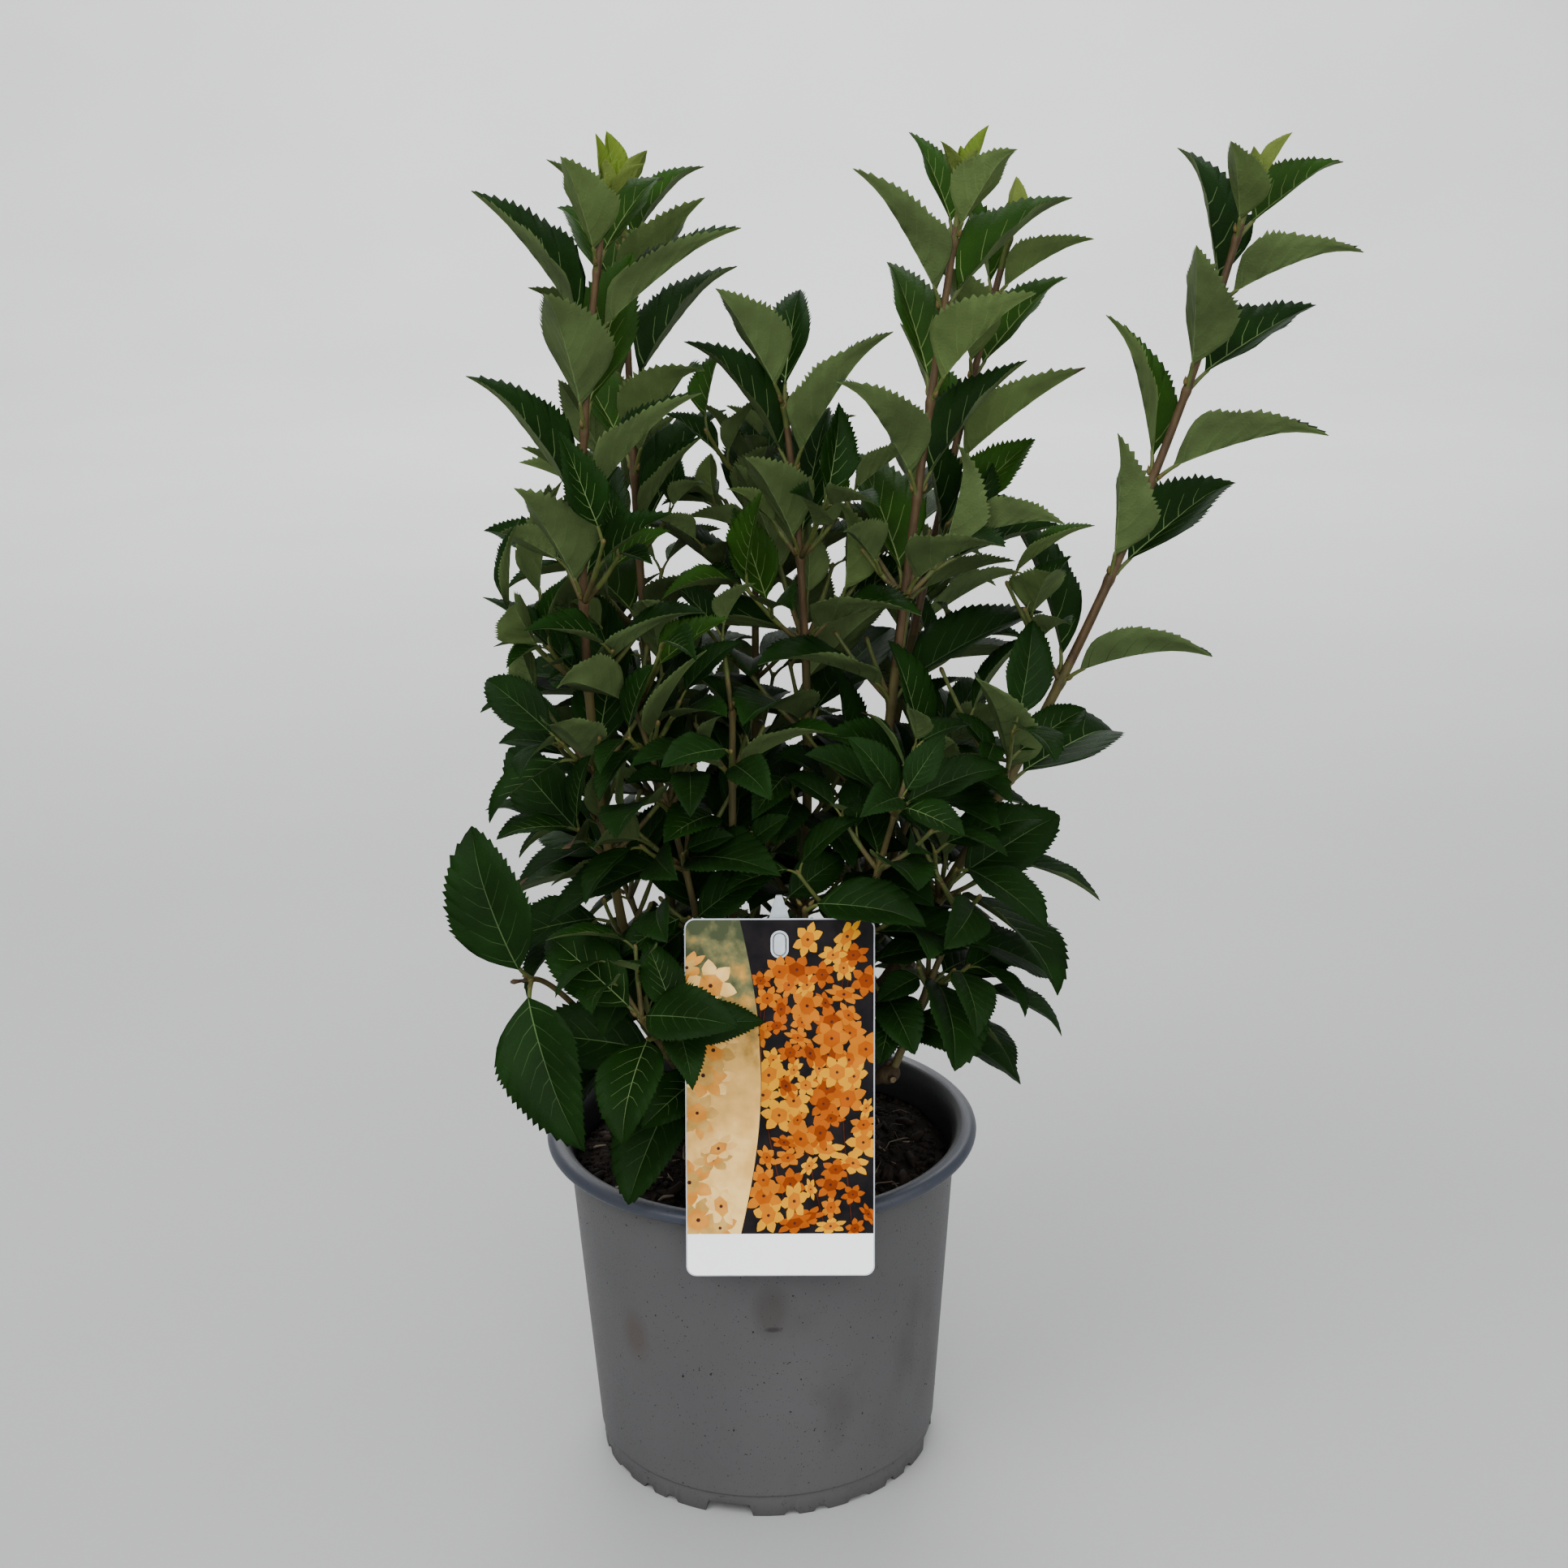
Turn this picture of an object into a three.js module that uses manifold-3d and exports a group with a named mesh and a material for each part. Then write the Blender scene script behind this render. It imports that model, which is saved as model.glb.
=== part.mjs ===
// A young forsythia in a round nursery pot, with its picture label on a stick.
// Millimetres, +Z up. The origin is the centre of the pot's flat underside.
//
// The plant is a woody root crown, boughs that end in pruned knuckles, and masses of
// foliage that grow from those knuckles. A mass is one stem with side twigs. Its leaves
// stand in opposite pairs, each pair a quarter turn from the pair below it.

import * as THREE from 'three';
import { mergeVertices } from 'three/addons/utils/BufferGeometryUtils.js';
import Module from 'manifold-3d';

const wasm = await Module();
wasm.setup();

// ---------------------------------------------------------------- driving dimensions

const GAP = 0.3;                    // between two nodes that touch
const DEGREE = Math.PI / 180;

const POT = {
  height: 153.5,
  rim: 95,
  wallTop: [85.5, 145],             // radius, height
  wallFoot: [76.3, 10.5],
  skirt: 75.3,
  floorDisc: 62,                    // the flat disc that the pot stands on
  channel: 6,                       // height of the drain channel round that disc
  floor: 1.8,
  wall: 1.3,
  foot: 1.8,                        // width of the skirt's foot
  step: 0.8,                        // height of the fine step between skirt and wall
  lip: 7.6,                         // width of the rolled rim
  lipDrop: 4.6,                     // how far the rim's outer edge hangs down
  segments: 36,
};
const DRAIN = { first: -103, count: 4, width: 20, height: 5.2 };    // gaps in the skirt
const NOTCH = { after: [21, 31, 45, 59, 69], width: 5.2, height: 2.4 };  // from each drain

const SOIL = { top: 139, fall: 2.6, slope: 12, level: 24, segments: 24 };

const CARD = { width: 76.5, height: 146.5, thick: 0.6, corner: 4, lean: 12.6, turn: -0.8 };
const CARD_FOOT = [7.6, -100.4, 131.4];
const HOLE = { width: 5.4, height: 9.4, drop: 10.5 };
const STICK = { width: 7, thick: 1.4, foot: 118, head: 284, point: 12, barb: 1.2, behind: 4.8 };
const PEG = { front: 1.2, back: 5.2 };  // how far the stick's peg reaches past the card

const CROWN = {
  height: 27,
  headHeight: 19,                   // where the boughs start
  segments: 12,
  profile: [[21, 0], [19.5, 2.5], [13.8, 8], [12, 13], [16, 19], [12.8, 25]],  // radius, height
};
const BOUGH = { sides: 6, rings: 5 };
const KNUCKLE = { size: 1.5, end: 0.72, from: 0.93, last: 0.99 };  // beside its bough's tip radius

const LEAF = {
  thick: 1.2,
  rise: 0.65,                       // the lower it is, the nearer its base a blade is widest
  slim: 0.25,                       // half width beside the length, in full light
  broad: 0.3,                       // and in shade
  petiole: 0.16,                    // length beside the blade's
  petioleLean: 0.45,                // how far it leans out beside the blade
  besideStem: 0.8,                  // where it leaves the stem, beside the stem's radius
  sunk: 0.9,
};
const BLADE_CORNERS = [[0.25, -1], [0.62, -1], [1, 0], [0.62, 1], [0.25, 1]];  // along, across
const BLADE_MIDDLE = 0.3;
const SHADE = { low: 240, high: 400 };  // leaves below are flatter and broader than above
const BLADE_ROWS = 16;              // feelers along and across a blade
const BLADE_COLUMNS = 9;
const BLADE_ROOM = 2;               // free room round each feeler
const PETIOLE_ROOM = 1.5;
const TWIG_ROOM = 1.5;
const CARD_ROOM = 2.2;
const POT_ROOM = { overSoil: 2, overRim: 2, overGround: 4, inside: 5, outside: 3 };

// Each bough: its knuckle's centre, its radius at the crown and at the tip, and how far
// its middle bows outwards.
const BOUGHS = {
  left: { tip: [-52, -14, 222], radii: [4.6, 3.2], bow: 8 },
  left_rear: { tip: [-38, 36, 226], radii: [4.4, 3.1], bow: 8 },
  centre: { tip: [18, 8, 230], radii: [4.3, 3.0], bow: 0 },
  front_left: { tip: [-20, -32, 224], radii: [4.0, 2.9], bow: 6 },
  front_right: { tip: [32, -36, 216], radii: [3.9, 2.8], bow: 6 },
  right: { tip: [46, -2, 226], radii: [4.5, 3.2], bow: 6 },
  right_rear: { tip: [44, 38, 224], radii: [4.3, 3.0], bow: 8 },
  far_right: { tip: [64, -16, 240], radii: [4.7, 3.4], bow: 12 },
  low_left: { tip: [-46, -48, 188], radii: [3.8, 2.8], bow: 4 },
  low_right: { tip: [56, -38, 192], radii: [3.8, 2.8], bow: 4 },
  rear: { tip: [-2, 48, 222], radii: [4.1, 2.9], bow: 8 },
  low_rear: { tip: [20, 62, 190], radii: [3.8, 2.8], bow: 4 },
};

// Each mass: its bough and where on it the stem starts (at the knuckle if not given), the
// stem's tip, how far its middle bows, the pairs of leaves on it, the bearing of its
// lowest pair, the length of a leaf, how many of its lower pairs carry side twigs, and its
// seed. A young one still grows at its tip. Where they differ from the rule's own, also
// how far from its stem its space reaches, how much its pairs crowd towards the tip, how
// much its leaves turn to the light, and where its lowest pair stands.
const MASSES = {
  left_tall: {
    bough: 'left', tip: [-52, -32, 551], bow: [-30, -8, 0], pairs: 10, bearing: 72, leaf: 66,
    twigs: 4, seed: 11, reach: 54, young: true, crowd: 1.15,
  },
  left_rear_tall: {
    bough: 'left_rear', tip: [-50, 46, 546], bow: [-8, 10, 0], pairs: 10, bearing: 40, leaf: 66,
    twigs: 4, seed: 12, young: true, crowd: 1.2,
  },
  centre_tall: {
    bough: 'centre', tip: [15, -2, 469], bow: [12, 0, 0], pairs: 7, bearing: 65, leaf: 64,
    twigs: 4, seed: 13, crowd: 1.15,
  },
  right_tall: {
    bough: 'right', tip: [85, -12, 552], bow: [-6, -6, 0], pairs: 9, bearing: 30, leaf: 66,
    twigs: 4, seed: 14, young: true, crowd: 1.35,
  },
  right_rear_tall: {
    bough: 'right_rear', tip: [109, 42, 530], bow: [-8, 6, 0], pairs: 8, bearing: -40, leaf: 64,
    twigs: 4, seed: 15, young: true, crowd: 1.25,
  },
  far_right_tall: {
    bough: 'far_right', tip: [198, -6, 550], bow: [30, 6, 0], pairs: 9, bearing: -45, leaf: 66,
    twigs: 1, seed: 16, young: true, crowd: 1.35, light: 0.3,
  },
  front_left_high: {
    bough: 'front_left', tip: [-48, -26, 350], bow: [8, -6, 0], pairs: 5, bearing: 75, leaf: 56,
    twigs: 2, seed: 21,
  },
  front_left_mid: {
    bough: 'front_left', from: 0.5, tip: [-8, -40, 352], bow: [0, -6, 0], pairs: 5, bearing: 80,
    leaf: 54, twigs: 2, seed: 22,
  },
  front_right: {
    bough: 'front_right', tip: [56, -64, 316], pairs: 3, bearing: 10, leaf: 46, twigs: 1,
    seed: 23, light: 0.1, first: 0.4,
  },
  front_low: {
    bough: 'front_right', from: 0.5, tip: [20, -58, 274], pairs: 2, bearing: 85, leaf: 54,
    twigs: 0, seed: 24,
  },
  low_far_left: {
    bough: 'low_left', tip: [-92, -62, 247], bow: [-16, 17, 24], pairs: 1, bearing: 112,
    leaf: 76, twigs: 0, seed: 26, light: 0,
  },
  low_left: {
    bough: 'low_left', from: 0.5, tip: [-46, -84, 238], pairs: 4, bearing: 60, leaf: 54,
    twigs: 1, seed: 25, light: 0.1, first: 0.3,
  },
  low_right: { bough: 'low_right', tip: [84, -38, 264], pairs: 4, leaf: 52, twigs: 2, seed: 27 },
  left_low: {
    bough: 'left', from: 0.5, tip: [-76, 6, 318], pairs: 4, bearing: 60, leaf: 42, twigs: 2,
    seed: 28, reach: 42,
  },
  centre_low: {
    bough: 'centre', from: 0.5, tip: [-14, 12, 318], pairs: 4, bearing: 20, leaf: 52, twigs: 2,
    seed: 41,
  },
  right_low: {
    bough: 'right', from: 0.5, tip: [78, 18, 316], pairs: 4, bearing: 30, leaf: 52, twigs: 2,
    seed: 42,
  },
  rear_centre: { bough: 'rear', tip: [2, 62, 420], pairs: 7, leaf: 60, twigs: 4, seed: 31 },
  rear_left: { bough: 'rear', from: 0.5, tip: [-68, 76, 344], pairs: 5, leaf: 52, twigs: 2, seed: 33 },
  rear_right: {
    bough: 'right_rear', from: 0.5, tip: [72, 86, 352], pairs: 5, leaf: 54, twigs: 2, seed: 34,
  },
  rear_low: { bough: 'low_rear', tip: [-14, 96, 306], pairs: 4, leaf: 52, twigs: 2, seed: 32 },
  low_rear_left: {
    bough: 'rear', from: 0.4, tip: [-24, 92, 236], pairs: 3, leaf: 48, twigs: 1, seed: 35,
  },
  low_rear_right: {
    bough: 'low_rear', from: 0.5, tip: [66, 80, 244], pairs: 3, leaf: 50, twigs: 1, seed: 36,
  },
};

const FINISH = {
  pot: { color: 0x5c5d5f, roughness: 0.62 },
  soil: { color: 0x1c1512, roughness: 0.97 },
  card: { color: 0xe9932c, roughness: 0.35 },
  stick: { color: 0xdfe4e8, roughness: 0.3 },
  bark: { color: 0x6b5136, roughness: 0.85 },
  leaves: { color: 0x2c4f25, roughness: 0.45 },
};

// ---------------------------------------------------------------- chance and vectors

/** A repeatable stream of numbers from -1 to 1. */
function chance(seed) {
  let state = seed * 7919 + 17;
  return () => {
    state = (state * 1664525 + 1013904223) % 4294967296;
    return (2 * state) / 4294967296 - 1;
  };
}

const vec = (x, y, z) => new THREE.Vector3(x, y, z);
const sum = (start, ...terms) => terms.reduce((total, [way, far]) => total.addScaledVector(way, far), start.clone());

/** A bowed line from foot to tip. */
function bowed(foot, tip, bow) {
  return new THREE.QuadraticBezierCurve3(foot, sum(foot.clone().lerp(tip, 0.5), [bow, 1]), tip);
}

// -------------------------------------------------------------------- closed solids

/** The manifold solid of a closed geometry. */
function solid(geometry) {
  const bare = geometry.clone();
  bare.deleteAttribute('normal');
  bare.deleteAttribute('uv');
  const merged = mergeVertices(bare, 1e-4);
  return new wasm.Manifold(new wasm.Mesh({
    numProp: 3,
    vertProperties: new Float32Array(merged.attributes.position.array),
    triVerts: new Uint32Array(merged.index.array),
  }));
}

/** The manifold solid that has these points and triangles. */
function solidOf(points, faces) {
  return new wasm.Manifold(new wasm.Mesh({
    numProp: 3,
    vertProperties: new Float32Array(points.flatMap((point) => point.toArray())),
    triVerts: new Uint32Array(faces.flat()),
  }));
}

/** A named mesh of a manifold solid. */
function node(name, manifold, finish) {
  const mesh = manifold.getMesh();
  const geometry = new THREE.BufferGeometry();
  geometry.setAttribute('position', new THREE.BufferAttribute(mesh.vertProperties, 3));
  geometry.setIndex(new THREE.BufferAttribute(mesh.triVerts, 1));
  geometry.computeVertexNormals();
  const made = new THREE.Mesh(geometry, new THREE.MeshStandardMaterial({ ...finish, metalness: 0 }));
  made.name = name;
  return made;
}

/** Joins solids into one. */
const join = (solids) => solids.reduce((whole, next) => whole.add(next));

/** A solid turned about the axis, from [radius, height] pairs. */
function turned(profile, segments) {
  return solid(new THREE.LatheGeometry(profile.map(([r, z]) => new THREE.Vector2(r, z)), segments).rotateX(Math.PI / 2));
}

/** A tapering limb: rings round a curve, with radiusAt(share) as their radius. */
function limb(curve, radiusAt, sides, rings) {
  const frames = curve.computeFrenetFrames(rings, false);
  const points = [];
  const faces = [];
  for (let ring = 0; ring <= rings; ring += 1) {
    const centre = curve.getPointAt(ring / rings);
    const radius = radiusAt(ring / rings);
    for (let side = 0; side < sides; side += 1) {
      const angle = (2 * Math.PI * side) / sides;
      points.push(sum(centre, [frames.normals[ring], radius * Math.cos(angle)], [frames.binormals[ring], radius * Math.sin(angle)]));
      if (ring < rings) {
        const here = ring * sides + side;
        const beside = ring * sides + ((side + 1) % sides);
        faces.push([here, beside, beside + sides], [here, beside + sides, here + sides]);
      }
    }
  }
  for (let side = 1; side < sides - 1; side += 1) {
    const last = rings * sides;
    faces.push([0, side + 1, side], [last, last + side, last + side + 1]);
  }
  return solidOf(points, faces);
}

// ---------------------------------------------------------------------- pot and soil

/** A box that stands on the ground at this bearing and cuts through the skirt. */
function skirtCut(bearing, { width, height }) {
  const depth = 12;                 // more than the skirt's foot is wide
  const block = new THREE.BoxGeometry(depth, width, 2 * height);
  block.translate(POT.skirt, 0, 0);
  return solid(block.rotateZ(bearing * DEGREE));
}

/** The pot: a thin wall, a rolled rim, a flat floor disc and a notched skirt. */
function pot() {
  const [topRadius, topZ] = POT.wallTop;
  const [footRadius, footZ] = POT.wallFoot;
  const { rim, height, wall, floorDisc, channel, floor, skirt, foot, step, lip, lipDrop } = POT;
  const draft = 0.4;                // how much the walls of the channel lean
  const shell = turned([
    [0, 0], [floorDisc, 0], [floorDisc + draft, channel], [skirt - foot - draft, channel],
    [skirt - foot, 0], [skirt, 0], [skirt + 0.1, footZ - step], [footRadius, footZ], [topRadius, topZ],
    [rim - 3, height - lipDrop], [rim - 0.8, height - lipDrop], [rim, height - 0.65 * lipDrop],
    [rim - 0.29 * lip, height], [rim - lip, height - 0.3],
    [topRadius - wall, topZ], [footRadius - wall, footZ], [skirt - foot - 1.2, channel + floor],
    [floorDisc - draft, channel + floor], [floorDisc - 1.6, floor], [0, floor],
  ], POT.segments);
  const drains = Array.from({ length: DRAIN.count }, (_, place) => DRAIN.first + (360 * place) / DRAIN.count);
  const notches = drains.flatMap((drain) => NOTCH.after.map((turn) => skirtCut(drain + turn, NOTCH)));
  return shell.subtract(join([...notches, ...drains.map((drain) => skirtCut(drain, DRAIN))]));
}

/** The soil fills the pot to below its rim, level round the crown and lower at the wall. */
function soil(stickSlot) {
  const [topRadius, topZ] = POT.wallTop;
  const [footRadius, footZ] = POT.wallFoot;
  const { wall, floorDisc, channel, floor, skirt } = POT;
  const edgeZ = SOIL.top - SOIL.fall;
  const edge = topRadius - ((topRadius - footRadius) * (topZ - edgeZ)) / (topZ - footZ) - wall - 2 * GAP;
  const fill = turned([
    [0, floor + GAP], [floorDisc - 2.2, floor + GAP], [floorDisc - 0.9, channel + floor + GAP],
    [skirt - 4, channel + floor + GAP], [footRadius - wall - 2 * GAP, footZ + GAP], [edge, edgeZ],
    [edge - SOIL.slope, SOIL.top - SOIL.fall / 2], [SOIL.level, SOIL.top], [0, SOIL.top],
  ], SOIL.segments);
  return fill.subtract(stickSlot);
}

// --------------------------------------------------------------------------- label

/** Turns a flat outline, drawn upright from the card's foot, into place as a plate. */
function plate(shape, thick, forward) {
  const block = new THREE.ExtrudeGeometry(shape, { depth: thick, bevelEnabled: false, curveSegments: 4 });
  block.translate(0, 0, forward - thick / 2);
  block.rotateZ(CARD.turn * DEGREE).rotateX((90 - CARD.lean) * DEGREE);
  return solid(block.translate(...CARD_FOOT));
}

/** An upright outline with round corners, its middle at (0, middle). */
function roundedOutline(width, height, corner, middle) {
  const x = width / 2 - corner;
  const z = height / 2 - corner;
  const shape = new THREE.Shape();
  shape.absarc(x, middle + z, corner, 0, Math.PI / 2);
  shape.absarc(-x, middle + z, corner, Math.PI / 2, Math.PI);
  shape.absarc(-x, middle - z, corner, Math.PI, 1.5 * Math.PI);
  shape.absarc(x, middle - z, corner, 1.5 * Math.PI, 2 * Math.PI);
  return shape;
}

const HOLE_MIDDLE = CARD.height - HOLE.drop;

/** A point of the card's middle line, this high above its foot along the card. */
function cardPoint(height) {
  const [lean, turn] = [CARD.lean * DEGREE, -CARD.turn * DEGREE];
  return sum(vec(...CARD_FOOT), [vec(Math.sin(turn), Math.sin(lean), Math.cos(lean)), height]);
}

const STICK_AT = sum(cardPoint(HOLE_MIDDLE), [vec(0, 1, 0), STICK.behind]);

/** The picture card, with a long hole near its top. */
function card() {
  const outline = roundedOutline(CARD.width, CARD.height, CARD.corner, CARD.height / 2);
  const hole = roundedOutline(HOLE.width, HOLE.height, HOLE.width / 2 - 0.1, HOLE_MIDDLE);
  return plate(outline, CARD.thick, 0).subtract(plate(hole, 3 * CARD.thick, 0));
}

/** The stick's upright: a flat blade, pointed at both ends, with barbs below its head. */
function upright(room = 0) {
  const { width, thick, foot, head, point, barb } = STICK;
  const half = width / 2 + room;
  const shoulder = head - point;
  const blade = new THREE.Shape();
  blade.moveTo(0, foot - room);
  blade.lineTo(half, foot + point);
  blade.lineTo(half, shoulder - barb);
  blade.lineTo(half + barb, shoulder);
  blade.lineTo(0, head + room);
  blade.lineTo(-half - barb, shoulder);
  blade.lineTo(-half, shoulder - barb);
  blade.lineTo(-half, foot + point);
  const block = new THREE.ExtrudeGeometry(blade, { depth: thick + 2 * room, bevelEnabled: false });
  return solid(block.rotateX(Math.PI / 2).translate(STICK_AT.x, STICK_AT.y + thick / 2 + room, 0));
}

/** The stick stands in the soil behind the card, and its peg goes through the hole. */
function stick() {
  const { front, back } = PEG;
  const outline = roundedOutline(HOLE.width - 2 * GAP, HOLE.height - 2 * GAP, HOLE.width / 2 - GAP - 0.1, HOLE_MIDDLE);
  return upright().add(plate(outline, front + back, (front - back) / 2));
}

/** Claims the room that the card and its stick take. */
function claimLabel(room) {
  const spacing = 4;
  for (let height = 0; height <= CARD.height; height += spacing) {
    const points = [];
    for (let x = -CARD.width / 2; x <= CARD.width / 2; x += spacing) {
      points.push(sum(cardPoint(height), [vec(1, 0, 0), x]));
    }
    room.claim(points, CARD_ROOM, 'label', true);
  }
  const axis = new THREE.LineCurve3(vec(STICK_AT.x, STICK_AT.y, SOIL.top), vec(STICK_AT.x, STICK_AT.y, STICK.head));
  room.claim(pointsAlong(axis, spacing), STICK.width / 2 + STICK.barb, 'label', true);
}

// ------------------------------------------------------------------ crown and boughs

/** The root crown: a flat cut on the soil, a root flare, a waist and a pruned head. */
function crown(room = 0) {
  const { height, headHeight, segments, profile } = CROWN;
  const foot = SOIL.top + GAP;
  const side = profile.map(([r, z]) => [r + room, foot + z + (z > headHeight ? room : 0)]);
  return turned([[0, foot], ...side, [0, foot + height + room]], segments);
}

/** How thick a bough is at a share of its length: a taper that ends in a knuckle. */
function boughRadius([foot, tip]) {
  return (share) => {
    const taper = foot + (tip - foot) * share;
    if (share <= KNUCKLE.from) return taper;
    return tip * KNUCKLE.size * (share > KNUCKLE.last ? KNUCKLE.end : 1);
  };
}

/** The solid of a bough, grown by some room. */
function boughSolid({ curve, radii }, room = 0) {
  return limb(curve, (share) => boughRadius(radii)(share) + room, BOUGH.sides, BOUGH.rings);
}

// ---------------------------------------------------------------------------- leaves

/** How wide a blade is at t, as a share of its widest. */
function bladeWidth(t) {
  const widest = LEAF.rise / (1 + LEAF.rise);
  return (Math.pow(t / widest, LEAF.rise) * (1 - t)) / (1 - widest);
}

/**
 * A point of a blade: t from its base to its tip, q from -1 to 1 across, lift above it.
 * The midrib curls away from the stem, and both halves fold up from it.
 */
function bladePoint(leaf, t, q, lift = 0) {
  const normal = sum(leaf.up, [leaf.axis, 2 * leaf.curl * t]).normalize();
  const half = leaf.length * leaf.width * bladeWidth(t) * q;
  return sum(
    leaf.base,
    [leaf.axis, leaf.length * t],
    [leaf.up, -leaf.length * leaf.curl * t * t],
    [leaf.side, half * Math.cos(leaf.fold)],
    [normal, Math.abs(half) * Math.sin(leaf.fold) + lift],
  );
}

/** One leaf, from its root inside the stem to its tip, as a closed solid of 12 faces. */
function leafSolid(leaf) {
  const edge = [leaf.root, ...BLADE_CORNERS.map(([t, q]) => bladePoint(leaf, t, q))];
  const middles = [LEAF.thick / 2, -LEAF.thick / 2].map((lift) => bladePoint(leaf, BLADE_MIDDLE, 0, lift));
  const [top, under] = [edge.length, edge.length + 1];
  const faces = edge.flatMap((_, here) => {
    const next = (here + 1) % edge.length;
    return [[next, here, top], [here, next, under]];
  });
  return solidOf([...edge, ...middles], faces);
}

/** The feelers of a blade: points spread over it that have to stay in free room. */
function bladeFeelers(leaf) {
  const feelers = [];
  for (let row = 2; row <= BLADE_ROWS; row += 1) {
    for (let column = 0; column < BLADE_COLUMNS; column += 1) {
      feelers.push(bladePoint(leaf, row / BLADE_ROWS, (2 * column) / (BLADE_COLUMNS - 1) - 1));
    }
  }
  return feelers;
}

/** The feelers of the part between a leaf's root and its first corners. */
function petioleFeelers(leaf) {
  const corners = [-1, 0, 1].map((q) => bladePoint(leaf, BLADE_CORNERS[0][0], q));
  const shares = [0.2, 0.4, 0.6, 0.8];
  return [leaf.root, ...corners.flatMap((corner) => shares.map((share) => leaf.root.clone().lerp(corner, share)))];
}

// ------------------------------------------------------------------------ free room

/** What is already there: clusters of points, each with the room that it takes. */
class Room {
  constructor() {
    this.clusters = [];
  }

  /** Claims the room round these points for an owner. */
  claim(points, radius, owner, stem = false) {
    const ball = new THREE.Sphere().setFromPoints(points);
    this.clusters.push({ points, radius, owner, stem, ball });
  }

  /** Whether these points are clear of the pot, the soil and all that is there. */
  isClear(points, radius, owner, ofItsOwn = true) {
    if (points.some((point) => !Room.isOverPot(point))) return false;
    const ball = new THREE.Sphere().setFromPoints(points);
    return this.clusters.every((cluster) => {
      if (cluster.owner === owner && !ofItsOwn) return true;
      const isOwnLeaf = cluster.owner === owner && !cluster.stem;
      const apart = radius + (isOwnLeaf ? OWN_SHARE : 1) * cluster.radius;
      if (ball.center.distanceTo(cluster.ball.center) > ball.radius + cluster.ball.radius + apart) return true;
      return points.every((point) => cluster.points.every((other) => point.distanceToSquared(other) > apart * apart));
    });
  }

  /** Whether a point is above the soil, the rim and the ground beside the pot. */
  static isOverPot(point) {
    const { overSoil, overRim, overGround, inside, outside } = POT_ROOM;
    const reach = Math.hypot(point.x, point.y);
    if (reach < POT.wallTop[0] - inside) return point.z > SOIL.top + overSoil;
    return reach < POT.rim + outside ? point.z > POT.height + overRim : point.z > overGround;
  }
}

/** Points spaced evenly along a curve, from one share of it to the end. */
function pointsAlong(curve, spacing, from = 0) {
  const steps = Math.max(2, Math.ceil(curve.getLength() / spacing));
  return Array.from({ length: steps + 1 }, (_, step) => curve.getPoint(from + ((1 - from) * step) / steps));
}

// --------------------------------------------------------------------------- growth

const UP = vec(0, 0, 1);
const YOUNG_TIP = [0.42, 0.74, 0.95];   // size of the top pairs where a shoot still grows
const RESTED_TIP = [0.86];              // and where it has stopped
const SMALL = 0.6;                      // below this size a pair is still half closed
const POSTURE = {                       // of a leaf in full light, and what shade adds to it
  spread: 38, spreadInShade: 22, spreadOverTwigs: 14,
  curl: 0.12, curlInShade: 0.14,
  fold: 28, foldInShade: -12,
};
const VARY = { length: 0.08, bearing: 9, spread: 6, curl: 0.05, fold: 5 };
const STEM = {
  tallOver: 150,
  tall: { radii: [2.6, 1.5], light: 0, first: 0.07 },
  low: { radii: [2, 1.2], light: 0.8, first: 0.25 },
  crowd: 1.2,
  room: 0.6,                            // free room beyond its own radius
};
const TWIG = {
  length: 0.62, vary: 0.2,              // beside the length of a leaf
  out: 0.7, rise: 0.75,
  bow: 0.06, sag: 0.03,
  radii: [1.4, 0.9],
  pairs: 2, leaf: 0.8, light: 0.5, first: 0.55,
  free: 0.25,                           // from here on it keeps clear of its own mass too
};
const CLAIM_SPACING = 3;
const SPACE_SPACING = 10;
const OWN_SHARE = 0.4;                  // leaves of one mass may lie closer together
const TRIES = [                         // turn, tilt and size of each try to fit a leaf
  [0, 0, 1], [14, 0, 1], [-14, 0, 1], [0, 12, 1], [0, -10, 1], [28, 6, 0.95], [-28, 6, 0.95],
  [14, 20, 0.85], [-14, 20, 0.85], [0, -18, 0.8], [40, 10, 0.8], [-40, 10, 0.8],
];
const REACH = 76;                       // how far a mass's space reaches from its stem
const TWIG_TURNS = [0, 25, -25, 50, -50, 75, -75];

/** Where the pairs of a shoot stand, as shares of its length. */
function pairShare(pair, { pairs, first, crowd = STEM.crowd }) {
  return pairs === 1 ? 1 : 1 - (1 - first) * Math.pow(1 - pair / (pairs - 1), crowd);
}

/** Where the light comes from at a point: from above, and from outside the crown. */
const lightAt = (point) => vec(point.x, point.y, 0).normalize().add(UP);

/** The way out of a stem at a bearing from +X, square to the stem. */
function outward(tangent, bearing) {
  const across = vec(1, 0, 0).addScaledVector(tangent, -tangent.x).normalize();
  const away = tangent.clone().cross(across);
  return sum(across.multiplyScalar(Math.cos(bearing * DEGREE)), [away, Math.sin(bearing * DEGREE)]);
}

/** A leaf at a point of a stem, on a petiole that leans out less than the blade does. */
function leafAt(place, plan) {
  const { centre, along, tangent, stemRadius } = place;
  const out = outward(tangent, plan.bearing);
  const lean = (way) => sum(tangent.clone().multiplyScalar(Math.cos(way * DEGREE)), [out, Math.sin(way * DEGREE)]);
  const axis = lean(plan.spread);
  const up = lean(plan.spread - 90);
  const petiole = lean(LEAF.petioleLean * plan.spread);
  return {
    root: sum(centre, [along, -LEAF.sunk]),
    base: sum(centre, [out, LEAF.besideStem * stemRadius], [petiole, plan.length * LEAF.petiole]),
    axis,
    up,
    side: axis.clone().cross(up),
    length: plan.length,
    width: plan.width,
    curl: plan.curl,
    fold: plan.fold * DEGREE,
  };
}

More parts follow.
